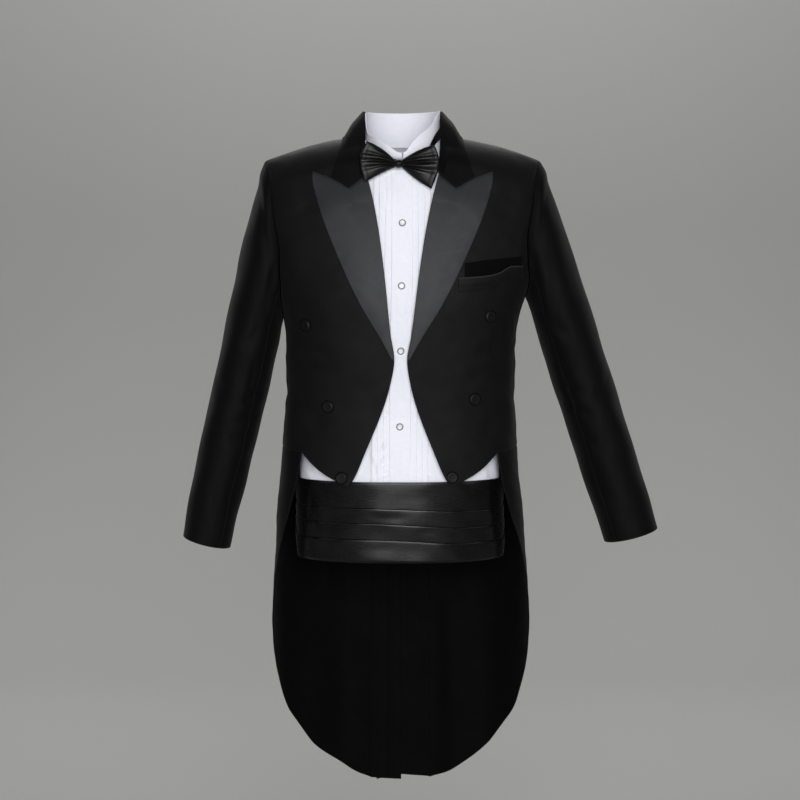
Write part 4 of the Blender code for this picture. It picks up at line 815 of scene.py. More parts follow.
def normals_of(face, closed=False):
    """Normals of a grid of points, by the run of its rows and columns."""
    down = np.gradient(face, axis=0)
    if closed:
        around = np.roll(face, -1, 1) - np.roll(face, 1, 1)
    else:
        around = np.gradient(face, axis=1)
    return unit(np.cross(down, around))


angles = mix(FRONT_SLIT, 360 - FRONT_SLIT, lines(0.38, 0.004))
signed = both_ways(angles)
top_z = curve(COLLAR_BAND_TOP, "angle", "z")(signed)
low_spots = neckline(shirt, SHIRT_NECK, signed)
low = shirt.surface(low_spots[:, 0], low_spots[:, 1])
low = low + shirt.normal(low_spots[:, 0], low_spots[:, 1]) * (1.5 * LAP_GAP + COTTON / 2)
# Behind, the band reaches a little below the neck seam
low[:, 2] -= COLLAR_OVERLAP * ease((np.abs(signed) - 90) / 40)
high = ring_point(COLLAR_BAND, angles, top_z)
half = ring_point(COLLAR_BAND, angles, (low[:, 2] + high[:, 2]) / 2)
v = lines(0.05, 0.003)[:, None, None]
face = np.where(v < 0.5, mix(high, half, 2 * v), mix(half, low, 2 * v - 1))
normal = facing_out(normals_of(face), face * LEVEL)
cloth_piece("shirt_collar", face, normal, COTTON / 2, COTTON, shirt_cotton)


# Four shirt buttons of pearly resin, turned with a raised rim, 11.6 mm across and
# sewn on with two strands of white cotton.

SHIRT_BUTTON_RADIUS = 0.0058
SHIRT_BUTTON_PROFILE = ((0.00, 0.0012), (0.40, 0.00122), (0.60, 0.0013), (0.70, 0.0018), (0.78, 0.0020),
                        (0.88, 0.0020), (0.95, 0.0017), (0.99, 0.0012), (1.00, 0.0007), (0.94, 0.0001),
                        (0.00, 0.0000))
SHIRT_BUTTON_HEIGHTS = (-0.134, -0.232, -0.334, -0.4545)
STRAND_HALF = 0.0014
STRAND_RADIUS = 0.00035
STRAND_Z = 0.0011
STRAND_BOW = 0.0003
# Along one strand, and how thick it is there
STRAND_PROFILE = ((0, 0.2), (0.12, 0.8), (0.3, 1), (0.7, 1), (0.88, 0.8), (1, 0.2))
BUTTON_SIDES = 40
# The lines of the profile between which the rim lies
RIM_FROM, RIM_TO = 3, 8


def once_round(sides):
    """Even angles once round, in radians."""
    return np.linspace(0, 2 * np.pi, sides, endpoint=False)


def turned(profile, radius, sides):
    """Points and quads of a shape turned about Z from a half profile that starts and ends on the axis."""
    swing = once_round(sides)
    rings = [(share * radius, height) for share, height in profile]
    rings = [(max(r, radius * 0.002), h) for r, h in rings]
    points = np.array([[(r * math.cos(a), r * math.sin(a), h) for a in swing] for r, h in rings])
    index = np.arange(len(rings) * sides).reshape(len(rings), sides)
    after = np.roll(index, -1, 1)
    return points.reshape(-1, 3), quads(index[:-1], index[1:], after[1:], after[:-1])


def tube(start, end, radius, sides=8):
    """A short round thread between two points."""
    start, end = np.array(start, float), np.array(end, float)
    way = unit(end - start)
    side = unit(np.cross(way, (0.3, 0.2, 1.0)))
    up = np.cross(way, side)
    swing = once_round(sides)
    rings = []
    for share, thick in STRAND_PROFILE:
        middle = mix(start, end, share) + np.array([0, 0, STRAND_BOW * math.sin(math.pi * share)])
        rings.append([middle + radius * thick * (math.cos(a) * side + math.sin(a) * up) for a in swing])
    points = np.array(rings).reshape(-1, 3)
    index = np.arange(len(points)).reshape(-1, sides)
    after = np.roll(index, -1, 1)
    return points, quads(index[:-1], after[:-1], after[1:], index[1:])


def set_on(points, spot, normal):
    """Points moved from the origin to a spot, their Z turned to its normal."""
    turn = np.array(Vector(normal).to_track_quat("Z", "Y").to_matrix())
    return points @ turn.T + spot


# Moulded pearl resin: milky and glossy, with slow cloudy bands of colour
pearl, pearl_shader = new_finish("moulded pearl resin", "#D9DBDF", {
    "Roughness": 0.16, "IOR": 1.55, "Coat Weight": 0.4, "Coat Roughness": 0.08, "Subsurface Weight": 0.15,
    "Subsurface Scale": 0.002,
})
place = own_place(pearl)
milk = two_tone(pearl, noise(pearl, place, 320.0, 3.0, 1.5), linear("#B9BCC4"), linear("#F1F0EC"))
set_inputs(pearl, pearl_shader, {"Base Color": milk})
# White sewing cotton: matt, twisted
thread, thread_shader = new_finish("white sewing cotton", "#E6E6EA", {"Roughness": 0.8})
place = own_place(thread)
twist = add_node(thread, "ShaderNodeTexWave", {"Vector": place, "Scale": 900.0}, bands_direction="DIAGONAL")
set_inputs(thread, thread_shader, {"Normal": bumped(thread, twist.outputs["Fac"], 0.5, 0.0001)})
# The button's turned rim is painted grey, a painted shade that draws a ring round the pearl
pearl_rim_shade, rim_shader = new_finish("pearl rim painted grey for shade", "#6C6E74", {"Roughness": 0.24, "IOR": 1.55})
place = own_place(pearl_rim_shade)
rim_tone = two_tone(pearl_rim_shade, noise(pearl_rim_shade, place, 700.0, 3.0), linear("#4E5056"), linear("#8C8E94"))
set_inputs(pearl_rim_shade, rim_shader, {"Base Color": rim_tone})


def merged(name, shapes, materials):
    """One object from several closed shapes, each with the number of its material or of each face's."""
    points, faces, kinds, start = [], [], [], 0
    for shape_points, shape_faces, kind in shapes:
        points.append(shape_points)
        faces.append(shape_faces + start)
        kinds += np.broadcast_to(kind, len(shape_faces)).tolist()
        start += len(shape_points)
    piece = build(name, np.concatenate(points), np.concatenate(faces), materials[0])
    for material in materials[1:]:
        piece.data.materials.append(material)
    piece.data.polygons.foreach_set("material_index", kinds)
    return piece


ring = np.repeat(np.arange(len(SHIRT_BUTTON_PROFILE) - 1), BUTTON_SIDES)
# The rim's faces take the grey of the painted shade
on_rim = np.where((ring >= RIM_FROM) & (ring < RIM_TO), 2, 0)
for number, z in enumerate(SHIRT_BUTTON_HEIGHTS, start=1):
    base, normal = shirt.laid(shirt.place(0.0, z))
    relief = shirt_relief(base[None], normal[None])[0]
    seat = base + normal * (COTTON + 2 * LAP_GAP + relief)
    shapes = [(*turned(SHIRT_BUTTON_PROFILE, SHIRT_BUTTON_RADIUS, BUTTON_SIDES), on_rim)]
    for side in (-1, 1):
        y = side * STRAND_HALF * 0.8
        shapes.append((*tube((-STRAND_HALF, y, STRAND_Z), (STRAND_HALF, y, STRAND_Z), STRAND_RADIUS), 1))
    shapes = [(set_on(points, seat, normal), faces, kind) for points, faces, kind in shapes]
    button = merged(f"shirt_button_{number}_pearl", shapes, [pearl, thread, pearl_rim_shade])
    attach(button, "root")
    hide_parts(f"shirt_button_{number}")


# The cummerbund: black silk satin laid in four upward pleats over the shirt's waist,
# narrowing at the sides into a plain satin strap that closes behind.

SATIN_FLOAT = 0.0010


def satin(name, colour, shade, roughness, gloss, ribs=0.35):
    """Silk satin: long warp floats give a soft broad gloss, streaked along the thread."""
    material, shader = new_finish(name, colour, {
        "Roughness": roughness, "Specular IOR Level": gloss, "Sheen Weight": 0.04, "Sheen Roughness": 0.35,
        "Anisotropic": 0.25,
    })
    uv = cloth_place(material)
    stretch = (60.0, 1.0 / SATIN_FLOAT, 1.0)
    stretched = add_node(material, "ShaderNodeMapping", {"Vector": uv, "Scale": stretch})
    floats = noise(material, stretched.outputs[0], 1.0, 3.0)
    tone = two_tone(material, noise(material, uv, 45.0, 3.0), linear(shade), linear(colour))
    rough = ranged(material, floats, 0.3, 0.7, roughness - 0.05, roughness + 0.07)
    relief = bumped(material, floats, ribs, 0.00015)
    set_inputs(material, shader, {"Base Color": tone, "Roughness": rough, "Normal": relief})
    return material


black_satin = satin("black silk satin", "#080808", "#050505", 0.26, 0.30)

# Height of each pleat's folded upper edge, and how far it drops towards the wearer's left
CUMMERBUND_PLEATS = table("top bottom drop", [
    (-0.5430, -0.5850, 0.0000),
    (-0.5850, -0.6090, 0.0055),
    (-0.6090, -0.6350, 0.0080),
    (-0.6350, -0.6725, 0.0070),
])
DROP_FROM = -15.0
DROP_TO = 35.0
CUMMERBUND_TURN = 100.0
TAPER_FROM = 78.0
CUMMERBUND_BASE = COTTON + 3 * LAP_GAP
CUMMERBUND_WALL = 0.0012
PLEAT_TOP_STAND = 0.0022
PLEAT_FOOT_STAND = 0.0004
STRAP_HALF_HEIGHT = 0.020
PLEAT_UNEVEN = 0.22
# Down one pleat: share of its height, and share of its stand
PLEAT_PROFILE = ((0.00, 0.55), (0.018, 0.86), (0.05, 1.00), (0.12, 0.98), (0.3, 0.78), (0.5, 0.56),
                 (0.7, 0.34), (0.88, 0.14))
# Each pleat ends this far above the folded edge of the next, which makes one steep ledge all along
PLEAT_LEDGE = 0.0003
CUMMERBUND_WAVES = (0.0005, 0.07)
CUMMERBUND_LIFT = 0.0008
STRAP_WAVES = (0.0004, 0.06)
STRAP_LIFT = 0.0004
CUMMERBUND_CREASES = table(CREASE, [
    (-120, -556, -30, -566, -4, 5, -0.7), (-20, -570, 70, -560, -4, 5, -0.6),
    (-128, -560, -130, -650, 3, 6, 1.0), (-143, -555, -140, -655, -2, 5, -1.2),
    (136, -560, 138, -650, -3, 6, 1.0), (-60, -596, 10, -600, -3, 5, -0.6),
    (20, -626, 90, -624, 3, 5, -0.6), (-80, -652, -10, -648, -3, 6, -0.7),
])

cummerbund_top = CUMMERBUND_PLEATS[0]["top"]
cummerbund_foot = CUMMERBUND_PLEATS[-1]["bottom"]
cummerbund_middle = (cummerbund_top + cummerbund_foot) / 2
rows = []
drops = [pleat["drop"] for pleat in CUMMERBUND_PLEATS] + [0.0]
for pleat, next_drop in zip(CUMMERBUND_PLEATS, drops[1:]):
    foot = (1 - PLEAT_LEDGE / (pleat["top"] - pleat["bottom"]), 0.0)
    for share, stand in (*PLEAT_PROFILE, foot):
        rows.append((mix(pleat["top"], pleat["bottom"], share), mix(pleat["drop"], next_drop, share), stand))
rows.append((cummerbund_foot, 0.0, 0.0))
row_z, row_drop, row_stand = np.array(rows).T[:, :, None]
turns = mix(-CUMMERBUND_TURN, CUMMERBUND_TURN, lines(0.46, 0.004))[None]
narrowed = ease((np.abs(turns) - TAPER_FROM) / (CUMMERBUND_TURN - TAPER_FROM))
share = mix(1.0, STRAP_HALF_HEIGHT * 2 / (cummerbund_top - cummerbund_foot), narrowed)
dropped = row_z - row_drop * ease((turns - DROP_FROM) / (DROP_TO - DROP_FROM))
z = cummerbund_middle + (dropped - cummerbund_middle) * share
side = shirt.side_place(np.abs(turns) + 0 * z, z)
grid = np.stack([turns + 0 * z, side[..., 1]], -1)
base, normal = shirt.laid(grid)
stand = PLEAT_FOOT_STAND + (PLEAT_TOP_STAND - PLEAT_FOOT_STAND) * row_stand
stand = stand * (1.0 + PLEAT_UNEVEN * np.sin(0.11 * turns + 60 * row_z))
relief = folded(base, normal, CUMMERBUND_CREASES) + uneven(base, *CUMMERBUND_WAVES) + CUMMERBUND_LIFT
height = CUMMERBUND_BASE + CUMMERBUND_WALL + stand + np.maximum(relief, 0)
cloth_piece("cummerbund_front", base, normal, height, CUMMERBUND_WALL, black_satin)

u = lines(0.33, 0.005)
v = lines(2 * STRAP_HALF_HEIGHT, 0.004)
turns = mix(CUMMERBUND_TURN, 360 - CUMMERBUND_TURN, u)[None]
z = mix(cummerbund_middle + STRAP_HALF_HEIGHT, cummerbund_middle - STRAP_HALF_HEIGHT, v)[:, None]
near = np.minimum(turns, 360 - turns)
grid = np.stack([turns + 0 * z, shirt.side_place(near + 0 * z, z)[..., 1]], -1)
base, normal = shirt.laid(grid)
height = CUMMERBUND_BASE + CUMMERBUND_WALL + uneven(base, *STRAP_WAVES) + STRAP_LIFT
cloth_piece("cummerbund_strap", base, normal, height, CUMMERBUND_WALL, black_satin,
            seams=("left", "right"))


# The bow tie: black satin folded into two full wings that are drawn in at a knot, on a
# band of the same satin round the standing collar.

BOW_WINGS = [
    {
        "name": "right",
        "top": ((-0.0115, -0.0350), (-0.0335, -0.0165), (-0.0560, -0.0061)),
        "bottom": ((-0.0115, -0.0460), (-0.0335, -0.0560), (-0.0598, -0.0700)),
        "end": (-0.0670, -0.0352),
        "troughs": ((0.30, 0.45), (0.51, 0.78), (0.71, 0.50)),
    },
    {
        "name": "left",
        "top": ((-0.0017, -0.0350), (0.0248, -0.0195), (0.0500, -0.0118)),
        "bottom": ((-0.0017, -0.0460), (0.0208, -0.0650), (0.0455, -0.0800)),
        "end": (0.0573, -0.0414),
        "troughs": ((0.24, 0.42), (0.44, 0.80), (0.66, 0.58)),
    },
]
WING_BACK_AT_KNOT = -0.0790
WING_BACK_AT_END = -0.0925
WING_THICK = 0.0075
WING_RIM = 0.0020
WING_FULL_AT_KNOT = 0.40
WING_EDGE = 0.0009
WING_WAVE = 0.0005
# How far in from its long edges and from its end a wing is rounded over
WING_SOFT_SIDE = 0.07
WING_SOFT_END = 0.13
TROUGH_AT_KNOT = 0.055
TROUGH_AT_END = 0.062
WING_COLUMNS = 44
WING_ROWS = 97
KNOT_SIDES = 72
KNOT_RINGS = 41
KNOT_PINCHES = table("x width deep", [(0.25, 0.16, 0.07), (-0.45, 0.13, 0.05)])
KNOT = {"x": -0.0066, "y": -0.0826, "z": -0.0405, "width": 0.0145, "depth": 0.0222, "height": 0.0140}
BOW_RING = {"half_width": 0.0621, "front": 0.0705, "back": 0.0592}
# The band hides behind the wings, and comes out above the wearer's left one (plus)
BOW_BAND = table("angle z half_height", [
    (-180, 0.0220, 0.0080), (-110, 0.0200, 0.0080), (-90, 0.0090, 0.0075), (-72, -0.0120, 0.0065),
    (-55, -0.0180, 0.0060), (-40, -0.0235, 0.0055), (-20, -0.0345, 0.0045), (0, -0.0380, 0.0045),
    (20, -0.0345, 0.0045), (40, -0.0225, 0.0050), (48, -0.0100, 0.0060), (60, 0.0020, 0.0080),
    (75, 0.0105, 0.0085), (90, 0.0180, 0.0080), (180, 0.0220, 0.0080),
])
BOW_BAND_WALL = 0.0012


def bent_line(points, share):
    """A curve through three points at 0, a half and 1."""
    start, middle, end = [np.array(p) for p in points]
    handle = 2 * middle - (start + end) / 2
    return start * (1 - share) ** 2 + handle * 2 * share * (1 - share) + end * share ** 2


def declare_satin(piece, node):
    """Attach a closed satin form to the root and hide the part it stands for."""
    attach(piece, "root")
    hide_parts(node)


# The tie's satin is older and duller than the cummerbund's, a soft charcoal on its ridges
tie_satin = satin("softened black satin", "#0B0B0B", "#070707", 0.38, 0.22, ribs=0.12)
for wing in BOW_WINGS:
    u = np.linspace(0, 1, WING_COLUMNS)[:, None]
    v = np.linspace(0, 1, WING_ROWS)[None]
    upper = bent_line(wing["top"], u)
    lower = bent_line(wing["bottom"], u)
    bulge = np.array(wing["end"]) - (np.array(wing["top"][2]) + np.array(wing["bottom"][2])) / 2
    across = np.sin(np.pi * v)
    flat = upper[:, None] + (lower - upper)[:, None] * v[..., None]
    flat = flat + bulge * (across * u * u)[..., None]
    back_y = mix(WING_BACK_AT_KNOT, WING_BACK_AT_END, u) + 0 * v
    # Three troughs, sharp at the knot and open at the end, leave two ridges between plain panels
    trough = mix(TROUGH_AT_KNOT, TROUGH_AT_END, u)
    folds = sum(deep * np.exp(-((v - at) / trough) ** 2) for at, deep in wing["troughs"])
    swell = mix(WING_FULL_AT_KNOT, 1.0, np.sin(np.pi * np.minimum(u + 0.15, 1.0)))
    full = WING_THICK * swell * across ** 0.6
    thick = WING_RIM + full * (1.0 - folds * (1.0 - u * 0.15))
    thick = thick + WING_WAVE * np.sin(9 * u + 14 * v) * across
    rim = np.minimum(np.minimum(v, 1 - v) / WING_SOFT_SIDE, (1 - u) / WING_SOFT_END)
    rim = np.sqrt(1 - (1 - np.clip(rim, 0, 1)) ** 2)
    thick = mix(WING_EDGE, thick, rim)
    front = np.stack([flat[..., 0], back_y - thick, flat[..., 1]], -1)
    back = np.stack([flat[..., 0], back_y, flat[..., 1]], -1)
    faces = wall_faces(*front.shape[:2])
    if middle_facing(front)[1] > 0:
        faces = faces[:, ::-1]
    across_cloth, down_cloth = lengths_of(front)
    cloth = np.stack([down_cloth, across_cloth], -1).reshape(-1, 2)
    inset = np.minimum(across_cloth, across_cloth[:, -1:] - across_cloth).ravel()
    points = np.concatenate([front.reshape(-1, 3), back.reshape(-1, 3)])
    piece = build(f"bow_wing_{wing['name']}_satin", points, faces, tie_satin,
                  np.concatenate([cloth] * 2), np.concatenate([inset] * 2))
    declare_satin(piece, f"bow_wing_{wing['name']}")

# The knot: a short wrap of satin, rounded over and creased where it is drawn tight
swing = once_round(KNOT_SIDES)[None]
tilt = np.linspace(-np.pi / 2, np.pi / 2, KNOT_RINGS)[:, None]


def squared(value, power):
    return np.sign(value) * np.abs(value) ** power


knot_out = squared(np.cos(tilt), 0.85)
knot_x = squared(np.sin(swing), 0.95) * knot_out
knot_y = -squared(np.cos(swing), 0.95) * knot_out
knot_z = squared(np.sin(tilt), 0.85) + 0 * swing
pinch = 1.0
for crease in KNOT_PINCHES:
    pinch = pinch - crease["deep"] * np.exp(-((knot_x - crease["x"]) / crease["width"]) ** 2)
knot_face = np.stack([
    KNOT["x"] + knot_x * KNOT["width"] / 2,
    KNOT["y"] + knot_y * pinch * KNOT["depth"] / 2,
    KNOT["z"] + knot_z * KNOT["height"] / 2 * (1 - 0.06 * knot_x ** 2),
], -1)
knot_index = np.arange(KNOT_RINGS * KNOT_SIDES).reshape(-1, KNOT_SIDES)
knot_after = np.roll(knot_index, -1, 1)
knot_faces = quads(knot_index[:-1], knot_after[:-1], knot_after[1:], knot_index[1:])
around, up = lengths_of(knot_face, closed=True)
knot_cloth = np.stack([up, around[:, :-1]], -1).reshape(-1, 2)
knot = build("bow_knot_satin", knot_face.reshape(-1, 3), knot_faces, tie_satin, knot_cloth, up.ravel())
# The wrap is a strip as wide as the knot, which covers its top, front and foot
declare_satin(knot, "bow_knot")

angles = np.linspace(0, 360, 120, endpoint=False)
signed = both_ways(angles)
middle_z = curve(BOW_BAND, "angle", "z")(signed)
half_height = curve(BOW_BAND, "angle", "half_height")(signed)
v = lines(0.016, 0.002)[:, None]
face = ring_point(BOW_RING, angles[None], middle_z + half_height * (1 - 2 * v))
normal = facing_out(normals_of(face, closed=True), face * LEVEL)
cloth_piece("bow_band", face, normal, BOW_BAND_WALL / 2, BOW_BAND_WALL, tie_satin,
            closed=True)


# The coat's body: black worsted with a napped face, cut as fronts, side bodies, backs
# and two tails, and sewn at the shoulders, sides and waist. It hangs from the shoulders.

# A worsted twill line is 0.5 mm wide; it is drawn 1.5 mm wide, or it would not show
TWILL_LINE = 0.0015


# The worn colour paints free edges paler: partly wear, partly a painted highlight where the edges catch the
# light
def worsted_finish(name, colour, shade, worn, gloss):
    """Napped worsted: a close black twill, brushed in soft patches, that takes a broad low sheen."""
    material, shader = new_finish(name, colour, {
        "Roughness": 0.60, "Specular IOR Level": gloss, "Sheen Weight": 0.02, "Sheen Roughness": 0.5,
    })
    uv = cloth_place(material)
    twill = add_node(material, "ShaderNodeTexWave", {
        "Vector": uv, "Scale": 2 * WAVE_PERIOD / TWILL_LINE, "Distortion": 1.2,
        "Detail": 2.0, "Detail Scale": 1.5,
    }, bands_direction="DIAGONAL")
    nap = noise(material, uv, 900.0, 2.0)
    brushed = noise(material, uv, 26.0, 4.0, 0.6)
    tone = two_tone(material, brushed, linear(shade), linear(colour))
    # Free edges are painted paler: partly wear, partly a painted highlight where the pressed edges catch the
    # light
    edge = add_node(material, "ShaderNodeAttribute", {}, attribute_name="inset").outputs["Fac"]
    worn_and_lit_edges = two_tone(material, ranged(material, edge, 0.0, 0.0030, 0.6, 0.0), tone, linear(worn))
    grain = add_node(material, "ShaderNodeMath", {0: twill.outputs["Fac"], 1: 0.55, 2: nap},
                     operation="MULTIPLY_ADD")
    relief = bumped(material, grain.outputs[0], 0.35, 0.0004)
    rough = ranged(material, brushed, 0.3, 0.7, 0.56, 0.66)
    set_inputs(material, shader, {"Base Color": worn_and_lit_edges, "Roughness": rough, "Normal": relief})
    return material


worsted = worsted_finish("black napped worsted", "#090909", "#060606", "#131314", 0.062)
# The fronts, pressed flat over canvas, get a lit copy of the worsted: a paler colour and more gloss, painted
# light that makes the chest brighter than the rest
lit_front_worsted = worsted_finish("black worsted, lit copy for the fronts", "#0B0B0C", "#070708", "#131315", 0.125)
# The reverse isn't napped; its darker, duller copy of the worsted is painted shade for the insides, which the
# light hardly reaches
shaded_worsted_reverse = worsted_finish("reverse of the worsted, darkened for painted shade", "#060606", "#040404", "#0C0C0D", 0.03)

WOOL = 0.0020
COAT_SECTIONS = table("z half_width front back", [
    (0.00, 0.2360, 0.070, 0.075),
    (-0.05, 0.2360, 0.083, 0.090),
    (-0.10, 0.2350, 0.099, 0.105),
    (-0.15, 0.2290, 0.110, 0.115),
    (-0.20, 0.2195, 0.118, 0.122),
    (-0.24, 0.2050, 0.122, 0.123),
    (-0.27, 0.1945, 0.124, 0.122),
    (-0.32, 0.1865, 0.122, 0.117),
    (-0.39, 0.1855, 0.115, 0.106),
    (-0.45, 0.1885, 0.111, 0.102),
    (-0.52, 0.1930, 0.110, 0.103),
    (-0.60, 0.2005, 0.110, 0.108),
    (-0.72, 0.2085, 0.112, 0.112),
    (-0.80, 0.2120, 0.112, 0.112),
    (-0.95, 0.2115, 0.110, 0.108),
    (-1.10, 0.2110, 0.106, 0.102),
])
BACK_NECK_LINE = table("x z", [(0.0, 0.0250), (0.0500, 0.0185), (0.0888, 0.0040)])
# Soft upright folds in the tails: place, half width, and how far they stand out (or in)
TAIL_FOLDS = table("x half_width stand", [
    (-0.150, 0.030, -0.005), (-0.095, 0.030, 0.006), (-0.035, 0.026, -0.003),
    (0.050, 0.026, 0.004), (0.100, 0.030, -0.006), (0.155, 0.026, 0.005),
])
# The front edge from neck to break to point, measured from the centre line
FRONT_EDGE = table("z x", [
    (0.0035, 0.0875), (-0.0300, 0.0690), (-0.0600, 0.0560), (-0.1370, 0.0384), (-0.2150, 0.0270),
    (-0.3100, 0.0160), (-0.3480, 0.0100), (-0.3880, 0.0160), (-0.5070, 0.0590), (-0.5380, 0.0730),
    (-0.5510, 0.0830),
])
COAT_NECK = {"half_width": 0.0875, "front": 0.0, "back": 0.0620}
BACK_NECK_Z = 0.0045
FRONT_CORNER = (0.1570, -0.4980)
FRONT_HEM_SAG = 0.004
NECK_CROWDING = 1.3
SIDE_SEAM_FOOT = {"turn": 82.0, "z": -0.492}
BACK_SEAM_WAIST = (0.0430, -0.470)
BACK_SEAM_BEND = 9.0
STRIP_HEM = (0.0500, -1.0735)
CENTRE_HEM = -1.0772
TAIL_FRONT_EDGE = table("z turn", [
    (-0.498, 52.7), (-0.542, 55.2), (-0.600, 62.0), (-0.634, 68.0), (-0.705, 79.5), (-0.760, 87.0),
    (-0.820, 96.0), (-0.867, 103.0), (-0.905, 110.0), (-0.942, 118.0), (-0.970, 127.1),
])
TAIL_HEM = table("x z", [
    (0.1737, -0.9700), (0.1465, -1.0110), (0.1050, -1.0450), (0.0765, -1.0640), (0.0500, -1.0735),
])
# The wearer's left tail laps outside the right one behind, and stands off it
VENT_LAP = 0.042
VENT_TOP = -0.480
VENT_STAND = 0.0036
VENT_STAND_FROM = 0.030
VENT_STAND_OVER = 0.028
VENT_STAND_ABOVE = 0.045
VENT_STAND_RISE = 0.040
# The armholes: how far each point of the loop is turned from the side of the trunk
ARMHOLE_TURN = table("round from_side", [
    (0, 21.0), (45, 28.0), (90, 31.0), (120, 24.5), (137, 16.0), (160, 7.0), (180, 0.0),
])
ARMHOLE_TOP = -0.0350
ARMHOLE_FIRST = 21.7
BACK_ARMHOLE_WIDER = 1.05
SIDE_PANEL_FROM = 152.0
SIDE_PANEL_TO = 228.0
ARMPITS = {"right": -0.288, "left": -0.252}
# How the run of each edge is shared: armhole front and back, side seam, tail, hem, waist
FRONT_ARM, BACK_ARM, SIDE_RUN, TAIL_RUN, HEM_RUN, WAIST_FRONT, WAIST_SIDE = 7, 6, 7, 13, 6, 2, 4
BACK_RUN = BACK_ARM + SIDE_RUN + TAIL_RUN

coat = Trunk(COAT_SECTIONS, BACK_NECK_LINE, folds=TAIL_FOLDS)
armhole_turn = curve(ARMHOLE_TURN, "round", "from_side")
front_x = curve(FRONT_EDGE, "z", "x")

# Creases in the body, in millimetres as seen from the side they are on
COAT_CREASES = table(CREASE + " seen", [
    (-186, -46, -120, -40, 6, 14, -1.4, "front"), (-176, -70, -150, -120, 8, 16, -1.5, "front"),
    (-198, -150, -180, -235, -9, 11, -2.4, "front"), (-183, -246, -140, -310, 8, 12, -1.6, "front"),
    (-178, -330, -110, -352, 8, 10, -1.5, "front"), (-176, -372, -96, -372, 10, 11, -1.3, "front"),
    (-172, -410, -130, -470, 6, 12, -1.2, "front"), (186, -50, 124, -36, -7, 14, -1.3, "front"),
    (182, -80, 150, -130, -6, 15, -1.3, "front"), (204, -140, 184, -225, 9, 11, -2.3, "front"),
    (146, -296, 143, -352, 3, 6, -1.3, "front"), (128, -330, 160, -372, 5, 9, -1.1, "front"),
    (180, -318, 108, -352, -8, 11, -1.4, "front"), (178, -372, 92, -384, -9, 11, -1.3, "front"),
    (176, -424, 128, -474, -6, 12, -1.1, "front"), (-150, -60, -175, -170, 10, 16, -2.0, "back"),
    (150, -70, 178, -165, -12, 15, -2.0, "back"), (-60, -20, 62, -24, -7, 12, -1.6, "back"),
    (-88, -336, 30, -352, 10, 12, -1.6, "back"), (100, -372, -20, -392, -9, 12, -1.5, "back"),
    (-110, -420, -38, -446, 7, 10, -1.2, "back"), (-6, -340, 4, -230, 6, 16, -1.2, "back"),
    (-20, -330, 34, -360, 5, 10, -1.6, "right"), (-30, -396, 30, -412, -6, 11, -1.5, "right"),
    (24, -322, -30, -350, -5, 10, -1.6, "left"), (34, -392, -28, -418, 6, 11, -1.5, "left"),
    (-140, -560, -128, -760, 9, 15, -2.2, "back"), (118, -540, 104, -800, -10, 16, -2.2, "back"),
    (-78, -640, -84, -900, 7, 13, -1.6, "back"), (66, -700, 74, -980, 8, 13, -1.8, "back"),
])


COAT_WAVES = (0.0009, 0.13)
COAT_RIPPLES = (0.0003, 0.037)
# How far out the lapel covers the front at each height, and how much flatter the cloth lies there
UNDER_LAPEL_Z = (-0.36, -0.345, -0.05, 0.0)
UNDER_LAPEL_X = (-0.03, 0.03, 0.160, 0.160)
UNDER_LAPEL_FLAT = 0.85


def coat_relief(points, normals):
    """How far the coat's face stands off its plain form; what lies on the coat follows it too."""
    waves = uneven(points, *COAT_WAVES) + uneven(points, *COAT_RIPPLES)
    height = folded(points, normals, COAT_CREASES) + waves
    height = height - np.minimum(height, 0) * on_shoulder(normals)
    x, y, z = np.moveaxis(points, -1, 0)
    lapel_reach = np.interp(z, UNDER_LAPEL_Z, UNDER_LAPEL_X)
    under_lapel = ease((lapel_reach - np.abs(x)) / 0.03) * (y < 0)
    return height * (1 - UNDER_LAPEL_FLAT * under_lapel)


def armhole(wearer, angle):
    """The armhole loop on the coat, by the angle from its top over the front."""
    angle = np.asarray(angle, float)
    middle = (ARMHOLE_TOP + ARMPITS[wearer]) / 2
    half_height = (ARMHOLE_TOP - ARMPITS[wearer]) / 2
    behind = angle > 180
    from_top = np.where(behind, 360 - angle, angle)
    turned_by = armhole_turn(from_top)
    turn = np.where(behind, 90 + BACK_ARMHOLE_WIDER * turned_by, 90 - turned_by)
    z = middle + half_height * np.cos(np.radians(angle))
    x = coat.half_width(z) * np.sin(np.radians(turn)) ** (2 / SQUARENESS)
    fall = coat.place(x, z, behind)[..., 1]
    over_top = np.clip(from_top / ARMHOLE_FIRST, 0, 1)
    return np.stack([turn, mix(RIDGE_FALL, fall, over_top)], -1)


def arm_run(wearer, start, end):
    """Part of the armhole loop, from one angle to another."""
    return lambda share: armhole(wearer, mix(start, end, np.asarray(share)))


